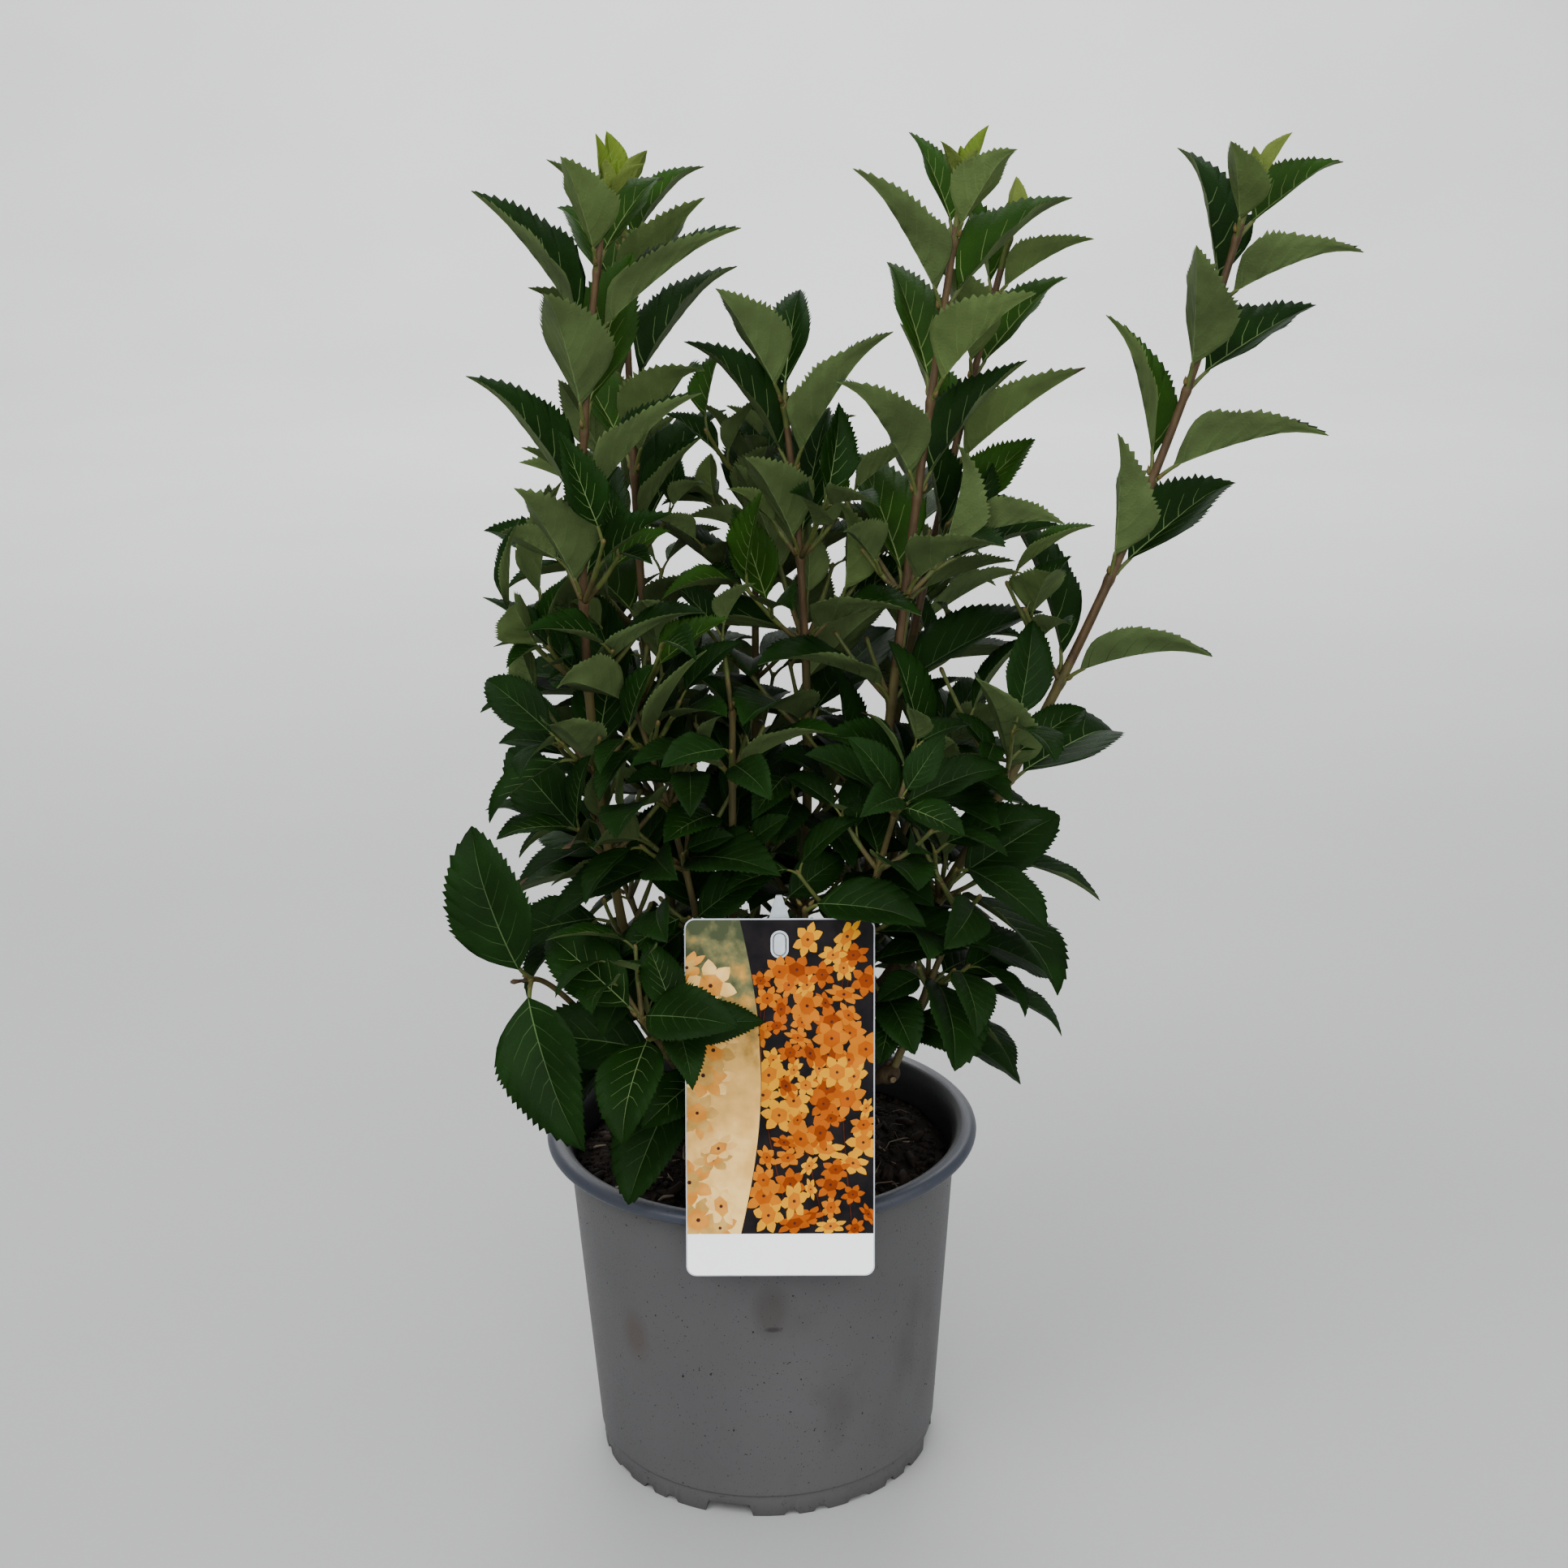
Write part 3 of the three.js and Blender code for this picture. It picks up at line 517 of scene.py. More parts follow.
class Scatter(Nodes):
    """Geometry Nodes that strew copies of one small grain over a patch of surface."""

    INPUTS = {
        "Ground": "Geometry",
        "Grain": "Object",
        "Finish": "Material",
        "Grains in a square metre": "Float",
        "Smallest": "Float",
        "Largest": "Float",
        "Tumble": "Float",
        "Seed": "Int",
    }

    def __init__(self) -> None:
        """Builds the tree once, with named inputs and a fixed seed for each use."""
        super().__init__(bpy.data.node_groups.new("strewn_grains", "GeometryNodeTree"))
        new_socket = self.tree.interface.new_socket
        self.sockets = {
            name: new_socket(name, in_out="INPUT", socket_type=f"NodeSocket{kind}").identifier
            for name, kind in self.INPUTS.items()
        }
        new_socket("Strewn", in_out="OUTPUT", socket_type="NodeSocketGeometry")
        self.wire()

    def wire(self) -> None:
        """Joins the nodes from the ground to the strewn grains."""
        given = self.add("NodeGroupInput", {})
        seed = {"Seed": given["Seed"]}
        spots = self.add(
            "GeometryNodeDistributePointsOnFaces",
            {"Mesh": given["Ground"], "Density": given["Grains in a square metre"], **seed},
        )
        grain = self.add("GeometryNodeObjectInfo", {"Object": given["Grain"]})
        limits = {2: given["Smallest"], 3: given["Largest"]}
        size = self.add("FunctionNodeRandomValue", {**limits, **seed}, data_type="FLOAT")
        tilt = given["Tumble"]
        reach = self.add("ShaderNodeCombineXYZ", {"X": tilt, "Y": tilt, "Z": math.pi})[0]
        back = self.add("ShaderNodeVectorMath", {0: reach, "Scale": -1.0}, operation="SCALE")[0]
        tumble = self.add("FunctionNodeRandomValue", {0: back, 1: reach, **seed}, data_type="FLOAT_VECTOR")
        placed = self.add("GeometryNodeInstanceOnPoints", {
            "Points": spots["Points"],
            "Instance": grain["Geometry"],
            "Rotation": spots["Rotation"],
            "Scale": size[1],
        })
        turns = {"Instances": placed["Instances"], "Rotation": tumble[0]}
        tipped = self.add("GeometryNodeRotateInstances", turns)
        real = self.add("GeometryNodeRealizeInstances", {"Geometry": tipped["Instances"]})
        dress = {"Geometry": real["Geometry"], "Material": given["Finish"]}
        dressed = self.add("GeometryNodeSetMaterial", dress)
        self.add("NodeGroupOutput", {"Strewn": dressed["Geometry"]})

    def strew(self, name: str, ground: Piece, grain: Piece, finish: Finish, how: Strewing) -> Piece:
        """Strews a grain over a patch, and uses both up.

        Args:
            name: the new piece's name.
            ground: the patch of surface.
            grain: the small thing.
            finish: how it is finished.
            how: how many, how large and how untidily.

        Returns:
            The strewn grains as one plain piece.
        """
        modifier = ground.modifiers.new("strew", "NODES")
        modifier.node_group = self.tree
        values = (grain, finish.make(), how.density, *how.sizes, how.tumble, how.seed)
        for key, value in zip(list(self.INPUTS)[1:], values):
            modifier[self.sockets[key]] = value
        mesh = final_mesh(ground)
        ground.modifiers.clear()
        for used in (ground, grain):
            bpy.data.objects.remove(used)
        mesh.name = name
        return in_scene(name, mesh)


# ---- the pot and soil


@dataclass
class Pot:
    """A thin round pot with a rolled rim, and a skirt that is notched at its foot."""

    height: float = 0.1535
    rim: float = 0.095
    wall_top: Pair = (0.0855, 0.145)
    wall_foot: Pair = (0.0763, 0.0105)
    skirt: float = 0.0753
    floor_disc: float = 0.062
    channel: float = 0.006
    floor: float = 0.0018
    wall: float = 0.0013
    segments: int = 144
    drains: tuple[float, ...] = (-103.0, -13.0, 77.0, 167.0)
    drain: Pair = (0.020, 0.0052)
    notches: tuple[float, ...] = (21.0, 31.0, 45.0, 59.0, 69.0)
    notch: Pair = (0.0052, 0.0024)
    wide_at: float = 45.0
    wide_notch: Pair = (0.0100, 0.0016)
    slope: float = 1.1

    # How far the points of the lip lie inside the rim's radius and below its height.
    LIP = (
        (0.0034, 0.0050), (0.0020, 0.0052), (0.0007, 0.0048), (0.0001, 0.0038), (0.0, 0.0028),
        (0.0003, 0.0017), (0.0012, 0.0007), (0.0024, 0.0001), (0.0038, 0.0), (0.0062, 0.0002),
        (0.0078, 0.0009), (0.0089, 0.0023),
    )
    # The slots: the outside wall, the rim with its painted shade and painted reflection, and the inside with
    # its painted shade.
    OUTSIDE, RIM, INSIDE = range(3)

    def outline(self) -> list[Pair]:
        """Returns: (radius, height) from the edge of the disc below, round the wall, to the floor."""
        top, top_z = self.wall_top
        foot, foot_z = self.wall_foot
        skirt, disc, channel = self.skirt, self.floor_disc, self.channel
        outside = [
            (foot + (top - foot) * s, foot_z + (top_z - foot_z) * s) for s in np.linspace(0.02, 0.99, 12)
        ]
        return [
            (disc, 0.0), (disc + 0.0004, channel), (skirt - 0.0022, channel), (skirt - 0.0018, 0.0),
            (skirt - 0.0003, 0.0), (skirt, 0.0003), (skirt + 0.0001, foot_z - 0.0012),
            (skirt + 0.0001, foot_z - 0.0003), (skirt + 0.0006, foot_z), (foot, foot_z + 0.0001),
            (foot + 0.0001, foot_z + 0.0006), *outside, (top + 0.0006, top_z + 0.0012),
            *((self.rim - inward, self.height - down) for inward, down in self.LIP),
            (top - self.wall + 0.0002, top_z + 0.0026), *((r - self.wall, z) for r, z in reversed(outside)),
            (skirt - 0.003, channel + self.floor), (disc - 0.0004, channel + self.floor),
            (disc - 0.0016, self.floor),
        ]

    @staticmethod
    def apart(bearing: float, other: float) -> float:
        """Returns: how many degrees lie between two bearings."""
        return abs((bearing - other + 540) % 360 - 180)

    def cuts(self) -> list[Point]:
        """Returns: the bearing, half width and height of each notch and drain gap."""
        made = [(drain, self.drain) for drain in self.drains]
        for drain in self.drains:
            for after in self.notches:
                made.append((drain + after, self.wide_notch if after == self.wide_at else self.notch))
        return [(bearing, math.degrees(width / 2 / self.skirt), tall) for bearing, (width, tall) in made]

    def lift(self, bearing: float) -> float:
        """Returns: how high the skirt's foot is cut away at a bearing."""
        return max(
            tall * min(1.0, max(0.0, (half + self.slope / 2 - self.apart(bearing, at)) / self.slope))
            for at, half, tall in self.cuts()
        )

    def bearings(self) -> list[float]:
        """Returns: the bearings of the lathe's segments, with some at each cut's edges."""
        made = {round(360 * k / self.segments, 3) for k in range(self.segments)}
        side = self.slope / 2
        for at, half, _ in self.cuts():
            made = {b for b in made if self.apart(b, at) >= half + self.slope}
            edges = (-half - side, -half + side, half - side, half + side, -half / 2, 0.0, half / 2)
            made |= {round((at + edge) % 360, 3) for edge in edges}
        return sorted(made)

    def build(self) -> Piece:
        """Returns: the pot, dressed."""
        bearings = self.bearings()
        radii, heights = np.array(self.outline()).T[:, :, None]
        foot = (radii > self.skirt - 0.0021) & (heights < 0.001)
        crest = np.nonzero(heights > self.height - 0.0003)[0].max()
        on_rim = (heights > self.wall_top[1] + 0.0005) & (radii > self.wall_top[0])
        # The rim's faces take the rim's slot, whose darker, bluer colour is painted shade and a painted
        # reflection of the sky.
        slots = np.where(on_rim[:-1, 0], self.RIM, self.OUTSIDE)
        # From the crest inward the faces take the inside's slot, painted near black as painted shade.
        slots[crest:] = self.INSIDE
        lifted = heights + foot * [self.lift(bearing) for bearing in bearings]
        stock = MeshStock()
        rings = turned(radii, lifted, np.radians(bearings))
        stock.add_rings(rings, slots, hubs=((0, 0, 0), (0, 0, self.floor)))
        wall = PotFinish(
            "grey_pot_plastic", shade(98, 98, 100), shade(104, 104, 106),
            patches=14.0, rough=(0.42, 0.54), specular=0.22, grain=1500.0, depth=0.00006,
            smudges=(
                ((-0.057, -0.062, 0.080), (0.009, 0.012, 0.016), shade(92, 78, 70), 0.55),
                ((0.003, -0.083, 0.104), (0.009, 0.012, 0.015), shade(84, 78, 76), 0.60),
                ((0.004, -0.083, 0.0955), (0.0045, 0.006, 0.0016), shade(34, 32, 32), 0.60),
            ),
        )
        plain = replace(wall, smudges=())
        # The rim is the wall's plastic painted darker and bluer: painted shade and a painted reflection of
        # the sky.
        rim = replace(
            plain, name="grey_pot_rim", dark=shade(50, 58, 76), light=shade(59, 68, 87), rough=(0.32, 0.44)
        )
        # The inside is the same plastic painted near black: painted shade within the pot.
        inside = replace(plain, name="grey_pot_inside_painted_shade", dark=shade(22, 24, 28), light=shade(31, 33, 38))
        return settle(stock.build("pot_body", wall, rim, inside), ["pot"])

    def dirt(self, scatter: Scatter) -> Piece:
        """Returns: crumbs of dry soil that cling to the outside of the wall."""
        (top, top_z), (foot, foot_z) = self.wall_top, self.wall_foot
        centres = np.linspace([0, 0, foot_z + 0.004], [0, 0, top_z - 0.008], 6)
        wall = small_tube("wall_patch", centres, np.linspace(foot + 0.0004, top - 0.0004, 6), 48)
        finish = Finish("dry_dirt", shade(48, 42, 36), shade(74, 66, 56), rough=(0.85, 0.95), specular=0.2)
        how = Strewing(900.0, (0.35, 1.0), 0.3, 17)
        return settle(scatter.strew("pot_dirt", wall, crumb("dirt_grain", 0.00042, 5), finish, how))


@dataclass
class Soil:
    """Dark potting soil with crumbs, flakes of bark and pale fibres on it."""

    pot: Pot
    top: float = 0.139
    fall: float = 0.0026
    level: float = 0.045
    hollow: float = 0.012
    middle: float = 0.0035
    sectors: int = 96
    circles: int = 44
    lump: float = 0.0016
    lumps: tuple[Point, ...] = ((0.022, 3, 0.6), (0.008, 4, 0.5), (0.0035, 5, 0.4))

    def edge(self) -> float:
        """Returns: the soil's radius at its top, just inside the wall."""
        (top, top_z), (foot, foot_z) = self.pot.wall_top, self.pot.wall_foot
        height = self.top - self.fall
        return top - (top - foot) * (top_z - height) / (top_z - foot_z) - self.pot.wall - 0.0004

    def surface(self) -> Array:
        """Returns: the points of the surface, as (circle, sector, 3), from the edge inwards."""
        radii = np.linspace(self.edge(), self.middle, self.circles)[:, None]
        points = turned(radii, 0.0, round_angles(self.sectors))
        slope = np.clip((radii - self.level) / (self.edge() - self.level), 0, 1) ** 2
        lumps = sum(ripple(points, wavelength, seed) * share for wavelength, seed, share in self.lumps)
        points[..., 2] = self.top - self.fall * slope + self.lump * (lumps - 0.5) * (radii > self.hollow)
        return points

    def build(self) -> Piece:
        """Returns: the soil, closed below, dressed."""
        rings = self.surface()
        base = rings[:1] * [0.9, 0.9, 0] + [0, 0, self.pot.channel + self.pot.floor + 0.002]
        stock = MeshStock()
        stock.add_rings(np.concatenate([base, rings]))
        soil = Finish(
            "potting_soil", shade(20, 16, 14), shade(40, 32, 26),
            patches=240.0, rough=(0.86, 0.98), specular=0.12, grain=1100.0, depth=0.0009,
        )
        return settle(stock.build("soil_fill", soil), ["soil"])

    def patch(self, inset: int) -> Piece:
        """Returns: the open surface to strew grains on, without this many of its outer circles."""
        stock = MeshStock()
        stock.add_rings(self.surface()[inset:], ends=())
        return stock.build("soil_patch")

    def strew(self, scatter: Scatter) -> list[Piece]:
        """Returns: the crumbs, flakes, slivers and fibres on the soil."""
        dark = Finish("soil_crumb", shade(24, 19, 16), shade(48, 38, 30), rough=(0.85, 0.97), specular=0.12)
        bark = Finish("bark_flake", shade(26, 21, 18), shade(56, 45, 36), rough=(0.75, 0.9), specular=0.15)
        pale = Finish(
            "pale_fibre", shade(116, 102, 86), shade(154, 140, 120), rough=(0.8, 0.9), specular=0.15
        )
        flake = small_tube(
            "flake_grain", [(-0.004, 0, 0.0004), (0, 0.0004, 0.0008), (0.0042, 0, 0.0004)],
            [0.0012, 0.0019, 0.0009], 5,
        )
        sliver = small_tube(
            "sliver_grain", [(-0.006, 0, 0), (-0.001, 0.0005, 0.001), (0.006, 0, 0.0004)],
            [0.0004, 0.0008, 0.0003], 4,
        )
        fibre = small_tube(
            "fibre_grain",
            [(-0.008, 0, 0), (-0.003, 0.002, 0.0016), (0.003, -0.001, 0.0022), (0.009, 0.002, 0.0006)],
            [0.00022, 0.0003, 0.00028, 0.0001], 3,
        )
        kinds = [
            ("crumbs", crumb("soil_grain", 0.0021, 9), dark, 1, Strewing(62000.0, (0.3, 1.0), 1.2, 31)),
            ("flakes", flake, bark, 3, Strewing(8000.0, (0.4, 1.4), 0.7, 32)),
            ("slivers", sliver, pale, 4, Strewing(2600.0, (0.35, 1.15), 0.45, 33)),
            ("fibres", fibre, pale, 5, Strewing(3200.0, (0.4, 1.1), 0.5, 34)),
        ]
        return [
            settle(scatter.strew(f"soil_{name}", self.patch(inset), grain, finish, how))
            for name, grain, finish, inset, how in kinds
        ]


# ---- the label


class Print(Enum):
    """The printed colours of the card, in the order of their slots."""

    CLEAR_EDGE = (bright(168, 174, 182), bright(184, 190, 198))
    NIGHT = (bright(9, 8, 11), bright(24, 20, 22))
    SAGE = (bright(58, 66, 44), bright(100, 100, 66))
    STRAW = (bright(164, 124, 56), bright(196, 154, 80))
    PEACH = (bright(214, 166, 88), bright(236, 196, 118))
    HAZE = (bright(184, 116, 36), bright(206, 142, 58))
    BAND = (bright(251, 253, 255), bright(253, 255, 255))
    RUST = (bright(108, 40, 0), bright(126, 50, 0))
    AMBER = (bright(148, 68, 0), bright(162, 78, 0))
    GOLD = (bright(170, 94, 0), bright(182, 104, 0))
    LEMON = (bright(192, 128, 0), bright(204, 142, 0))
    TWIG = (bright(44, 20, 16), bright(70, 36, 26))

    @property
    def slot(self) -> int:
        """Returns: the colour's slot."""
        return list(Print).index(self)


@dataclass
class Label:
    """A picture card that leans on the rim, hung by a long hole on a barbed stick."""

    soil: Soil
    width: float = 0.0765
    height: float = 0.1465
    thick: float = 0.0006
    corner: float = 0.004
    lean: float = 12.6
    turn: float = -0.8
    foot: Point = (0.0076, -0.1004, 0.1314)
    hole: Pair = (0.0054, 0.0094)
    hole_drop: float = 0.0105
    margin: float = 0.0005
    ink: float = 0.00003
    band: float = 0.0175
    blossom: float = 0.0128
    stick_width: float = 0.007
    stick_thick: float = 0.0014
    stick_foot: float = 0.118
    stick_head: float = 0.284
    stick_point: float = 0.012
    stick_barb: float = 0.0012
    stick_behind: float = 0.0048
    peg: Pair = (0.0012, 0.0052)

    # Each twig: where it starts, how far it sweeps aside, and how far up it goes.
    TWIGS = (
        (0.029, 0.021, 0.010, 0.122), (0.018, 0.020, 0.018, 0.124), (0.004, 0.022, 0.018, 0.112),
        (-0.004, 0.060, 0.010, 0.080), (0.026, 0.058, 0.008, 0.086),
    )
    # The colours of a star's petals and of their roots, on the dark field and on the bank.
    TONES = ((Print.AMBER, Print.RUST), (Print.GOLD, Print.AMBER), (Print.LEMON, Print.GOLD))
    FADED = ((Print.HAZE, Print.STRAW), (Print.STRAW, Print.HAZE), (Print.PEACH, Print.HAZE))
    # How far out and how wide a petal is, at its root and at its end.
    ROOT = ((0.03, 0.02), (0.13, 0.09), (0.22, 0.13))
    END = ((0.22, 0.13), (0.35, 0.145), (0.46, 0.075), (0.53, 0.0))
    # Where each colour of the bank's fade stands, from its foot to its top.
    STEPS = (0.05, 0.36, 0.54, 0.68, 0.80, 0.96)

    def __post_init__(self) -> None:
        """Works out where the card stands, its edges, and the middle of its hole."""
        tilt = Matrix.Rotation(math.radians(90 - self.lean), 4, "X")
        self.stand = Matrix.Translation(self.foot) @ tilt @ Matrix.Rotation(math.radians(self.turn), 4, "Z")
        self.side, self.top = self.width / 2 - self.margin, self.height - self.margin
        self.hole_middle = self.height - self.hole_drop

    def rounded(self, width: float, height: float, corner: float, middle: float) -> list[Pair]:
        """Returns: an upright outline with round corners, its middle at (0, middle)."""
        x, z = width / 2 - corner, height / 2 - corner
        points = []
        for quarter, (sx, sz) in enumerate([(1, 1), (-1, 1), (-1, -1), (1, -1)]):
            for step in range(7):
                angle = math.radians(90 * quarter + 15 * step)
                points.append((sx * x + corner * math.cos(angle), middle + sz * z + corner * math.sin(angle)))
        return points

    def long_hole(self, wider: float, corner: float) -> list[Pair]:
        """Returns: the outline of the hole, this much wider, with this much more round its corners."""
        width, height = self.hole
        return self.rounded(width + wider, height + wider, width / 2 + corner, self.hole_middle)

    def plate(
        self, outlines: Sequence[Sequence[Pair]], thick: float, forward: float, bevel: float = 0.0
    ) -> bpy.types.Mesh:
        """A flat plate with holes.

        Args:
            outlines: its outline and those of its holes, in the card's own plane.
            thick: how thick it is.
            forward: how far its middle lies in front of the card's middle.
            bevel: how much its edges are rounded.

        Returns:
            Its mesh, standing where the card stands.
        """
        curve = bpy.data.curves.new("plate", "CURVE")
        curve.dimensions, curve.fill_mode = "2D", "BOTH"
        curve.extrude, curve.bevel_depth, curve.offset = thick / 2 - bevel, bevel, -bevel
        for outline in outlines:
            spline = curve.splines.new("POLY")
            spline.points.add(len(outline) - 1)
            for point, (x, y) in zip(spline.points, outline):
                point.co = (x, y, 0.0, 1.0)
            spline.use_cyclic_u = True
        drawn = in_scene("plate", curve)
        mesh = final_mesh(drawn)
        bpy.data.objects.remove(drawn)
        bpy.data.curves.remove(curve)
        mesh.transform(self.stand @ Matrix.Translation((0, 0, forward)))
        return mesh

    def divide(self, share: float | Array) -> float | Array:
        """Returns: where the pale bank ends across the card, at a share of the picture's height."""
        return self.width * (-0.30 + 0.20 * np.sin(math.pi * (0.15 + 0.7 * share)))

    def bank(self) -> list[Pair]:
        """Returns: the outline of the pale bank along the left of the picture."""
        edge = [(self.divide(s), self.band + (self.top - self.band) * s) for s in np.linspace(0, 1, 30)]
        turn = self.corner - self.margin / 2
        arc = [
            (-self.side + turn - turn * math.sin(a), self.top - turn + turn * math.cos(a))
            for a in np.linspace(0, math.pi / 2, 6)
        ]
        return edge + arc + [(-self.side, edge[0][1])]

    def card(self) -> Piece:
        """Returns: the card with its printed fields, dressed."""
        outline = self.rounded(self.width, self.height, self.corner, self.height / 2)
        inner = self.rounded(
            2 * self.side, self.height - 2 * self.margin, self.corner - self.margin / 2, self.height / 2
        )
        band = [(self.side, self.band), (-self.side, self.band)] + [p for p in inner if p[1] < self.band]
        ink, face = self.ink, self.thick / 2
        stock = MeshStock()
        for colour, outlines, thick, forward, bevel in (
            (Print.CLEAR_EDGE, [outline, self.long_hole(0.0, -0.0001)], self.thick, 0.0, 0.0001),
            (Print.NIGHT, [inner, self.long_hole(0.0018, 0.0008)], ink, face, 0.0),
            (Print.SAGE, [self.bank()], ink, face + ink, 0.0),
            (Print.BAND, [band], ink, face + 2.5 * ink, 0.0),
        ):
            stock.add_mesh(self.plate(outlines, thick, forward, bevel), colour.slot)
        return settle(stock.build("label_print", *map(self.gloss, Print)), ["label_card"])

    def gloss(self, colour: Print) -> Finish:
        """Returns: the laminate over one printed colour; the pale bank fades up into sage."""
        look = {"patches": 130.0, "rough": (0.42, 0.50), "specular": 0.06, "grain": 300.0, "depth": 0.00003}
        if colour is not Print.SAGE:
            return Finish(f"print_{colour.name.lower()}", *colour.value, **look)
        tones = [*Print.PEACH.value[::-1], *Print.STRAW.value[::-1], *Print.SAGE.value[::-1]]
        ends = tuple((self.stand @ Vector((0, y, 0))).z for y in (self.band, self.height))
        return FadeFinish("print_bank", *colour.value, **look, ends=ends, fade=tuple(zip(self.STEPS, tones)))

    def twigs(self) -> list[Array]:
        """Returns: arching twigs across the dark field, as points in the card's plane."""
        made = []
        s = np.linspace(0, 1, 24)
        for x, y, sweep, far in self.TWIGS:
            line = np.stack([x - sweep * np.sin(s * 2.2) + 0.010 * s, y + far * s, 0 * s], -1)
            off_hole = np.hypot(line[:, 0], line[:, 1] - self.hole_middle) > self.hole[1]
            inside = (line[:, 0] < self.side - 0.005) & (line[:, 1] < self.height - 0.008)
            made.append(line[inside & off_hole])
        return made

    def blossoms(self) -> Piece:
        """Returns: rows of six-petalled stars along the twigs of the picture, dressed."""
        petals, draw = MeshStock(), Chance(53).draw
        face, stars = self.thick / 2 + 0.00012, []
        for place in range(16):
            at = (self.width * (-0.40 + 0.10 * draw()), self.band + 0.0075 * (place + 0.5 * draw()))
            stars.append((at, self.blossom * (1.4 + 0.3 * draw()), self.FADED[place % 3], True))
        for line in self.twigs():
            tube = rings_round(line + [0, 0, face], np.full(len(line), 0.0004), 4)
            petals.add_rings(tube * [1, 1, 0.2] + [0, 0, face * 0.8], Print.TWIG.slot)
            for x, y, _ in np.repeat(line, 5, axis=0):
                at = (x + 0.0095 * draw(), y + 0.0050 * draw())
                size = self.blossom * (1.0 + 0.30 * draw())
                apart = min(math.dist(at, other) for other, *_ in stars)
                if apart > self.blossom * 0.50 and self.is_free(at, size):
                    stars.append((at, size, self.TONES[int(1.5 * (draw() + 1)) % 3], False))
        for number, (at, size, tones, pale) in enumerate(stars):
            self.star(petals, (*at, face + 0.00003 + 0.000003 * number), size, draw, tones, pale)
        piece = petals.build("label_blossoms", *map(self.gloss, Print))
        piece.data.transform(self.stand)
        return settle(piece)

    def is_free(self, at: Pair, size: float) -> bool:
        """Returns: whether a star of this size fits on the dark field here."""
        (x, y), rim = at, 0.1 * size
        off_hole = math.hypot(x, y - self.hole_middle) > 0.0042 + 0.5 * size
        on_field = self.divide(y / self.height) < x < self.side - rim
        return self.band + rim < y < self.top - rim and on_field and off_hole

    def star(
        self, stock: MeshStock, middle: Point, size: float, draw: Callable[[], float],
        tones: tuple[Print, Print], pale: bool,
    ) -> None:
        """Adds one flat star of six petals round a dark heart, as if seen a little from the side.

        Args:
            stock: where its faces go.
            middle: its middle in the card's plane.
            size: how wide it is.
            draw: what turns and squashes it.
            tones: the colours of its petals' ends and of their roots.
            pale: whether it lies on the pale bank and not on the dark field.
        """
        first, squash, lean = draw() * math.pi, 0.74 + 0.26 * draw(), draw() * math.pi
        flat = np.array([math.cos(lean), math.sin(lean), 0.0])
        for petal in range(6):
            angle = first + petal * math.pi / 3 + 0.12 * draw()
            along = np.array([math.cos(angle), math.sin(angle), 0.0])
            across = np.array([-along[1], along[0], 0.0])
            for rows, tone in ((self.ROOT, tones[1]), (self.END, tones[0])):
                left = [along * a + across * w for a, w in rows]
                right = [along * a - across * w for a, w in rows if w > 0]
                points = np.array(right + left[::-1]) * size
                points = points - flat * (points @ flat)[:, None] * (1 - squash)
                points = self.trimmed(points + middle + [0, 0, 0.0000004 * petal], pale)
                stock.add(points, np.arange(len(points)), np.array([len(points)]), tone.slot)
        heart = turned(size * 0.045, 0.0, round_angles(6)) + middle + [0, 0, 0.0000026]
        stock.add(heart, np.arange(6), np.array([6]), Print.TWIG.slot)

    def trimmed(self, points: Array, pale: bool) -> Array:
        """Returns: the points of a print, kept inside the pale bank or the dark field."""
        y = np.clip(points[:, 1], self.band, self.top)
        divide = self.divide((y - self.band) / (self.height - self.band))
        ends = (-self.side, divide - 0.0002) if pale else (divide + 0.0002, self.side)
        return np.stack([np.clip(points[:, 0], *ends), y, points[:, 2]], -1)

    def stick_at(self) -> Vector:
        """Returns: the point of the stick's middle line that is level with the hole."""
        return self.stand @ Vector((0, self.hole_middle, 0)) + Vector((0, self.stick_behind, 0))

    def stick(self) -> Piece:
        """Returns: the milky stick with its barbed head and the peg through the hole, dressed."""
        at, half = self.stick_at(), self.stick_width / 2
        neck, barb = half * 0.42, half + self.stick_barb
        shoulder = self.stick_head - self.stick_point
        right = [
            (0.0, self.stick_foot), (half, self.stick_foot + self.stick_point), (half, shoulder - 0.013),
            (neck, shoulder - 0.010), (neck, shoulder - 0.002), (barb, shoulder - 0.0024),
            (barb, shoulder - 0.0004), (0.0012, self.stick_head - 0.0006),
        ]
        outline = right + [(-x, z) for x, z in reversed(right[1:])]
        blade = self.plate([outline], self.stick_thick, 0.0, 0.0003)
        blade.transform(self.stand.inverted())
        blade.transform(Matrix.Translation((at.x, at.y, 0)) @ Matrix.Rotation(math.radians(90), 4, "X"))
        front, back = self.peg
        knob = self.plate([self.long_hole(-0.0006, -0.0004)], front + back, (front - back) / 2, 0.0005)
        stock = MeshStock()
        stock.add_mesh(blade, 0)
        stock.add_mesh(knob, 0)
        milky = Finish(
            "milky_plastic", bright(166, 176, 184), bright(186, 196, 202), patches=160.0,
            rough=(0.28, 0.38), specular=0.5, grain=700.0, depth=0.00003, clear=0.3,
        )
        return settle(stock.build("label_holder", milky), ["label_stick"])


# ---- how it grows


@dataclass(frozen=True)
class Bough:
    """A bough: its knuckle's centre, its radius at the crown and there, and its bow."""

    tip: Point
    radii: Pair
    bow: float


class Zone(Enum):
    """Which pieces a mass of foliage is joined with."""

    LEFT = "left"
    MIDDLE = "middle"
    RIGHT = "right"
    FRONT = "front"
    SIDE = "side"
    REAR = "rear"


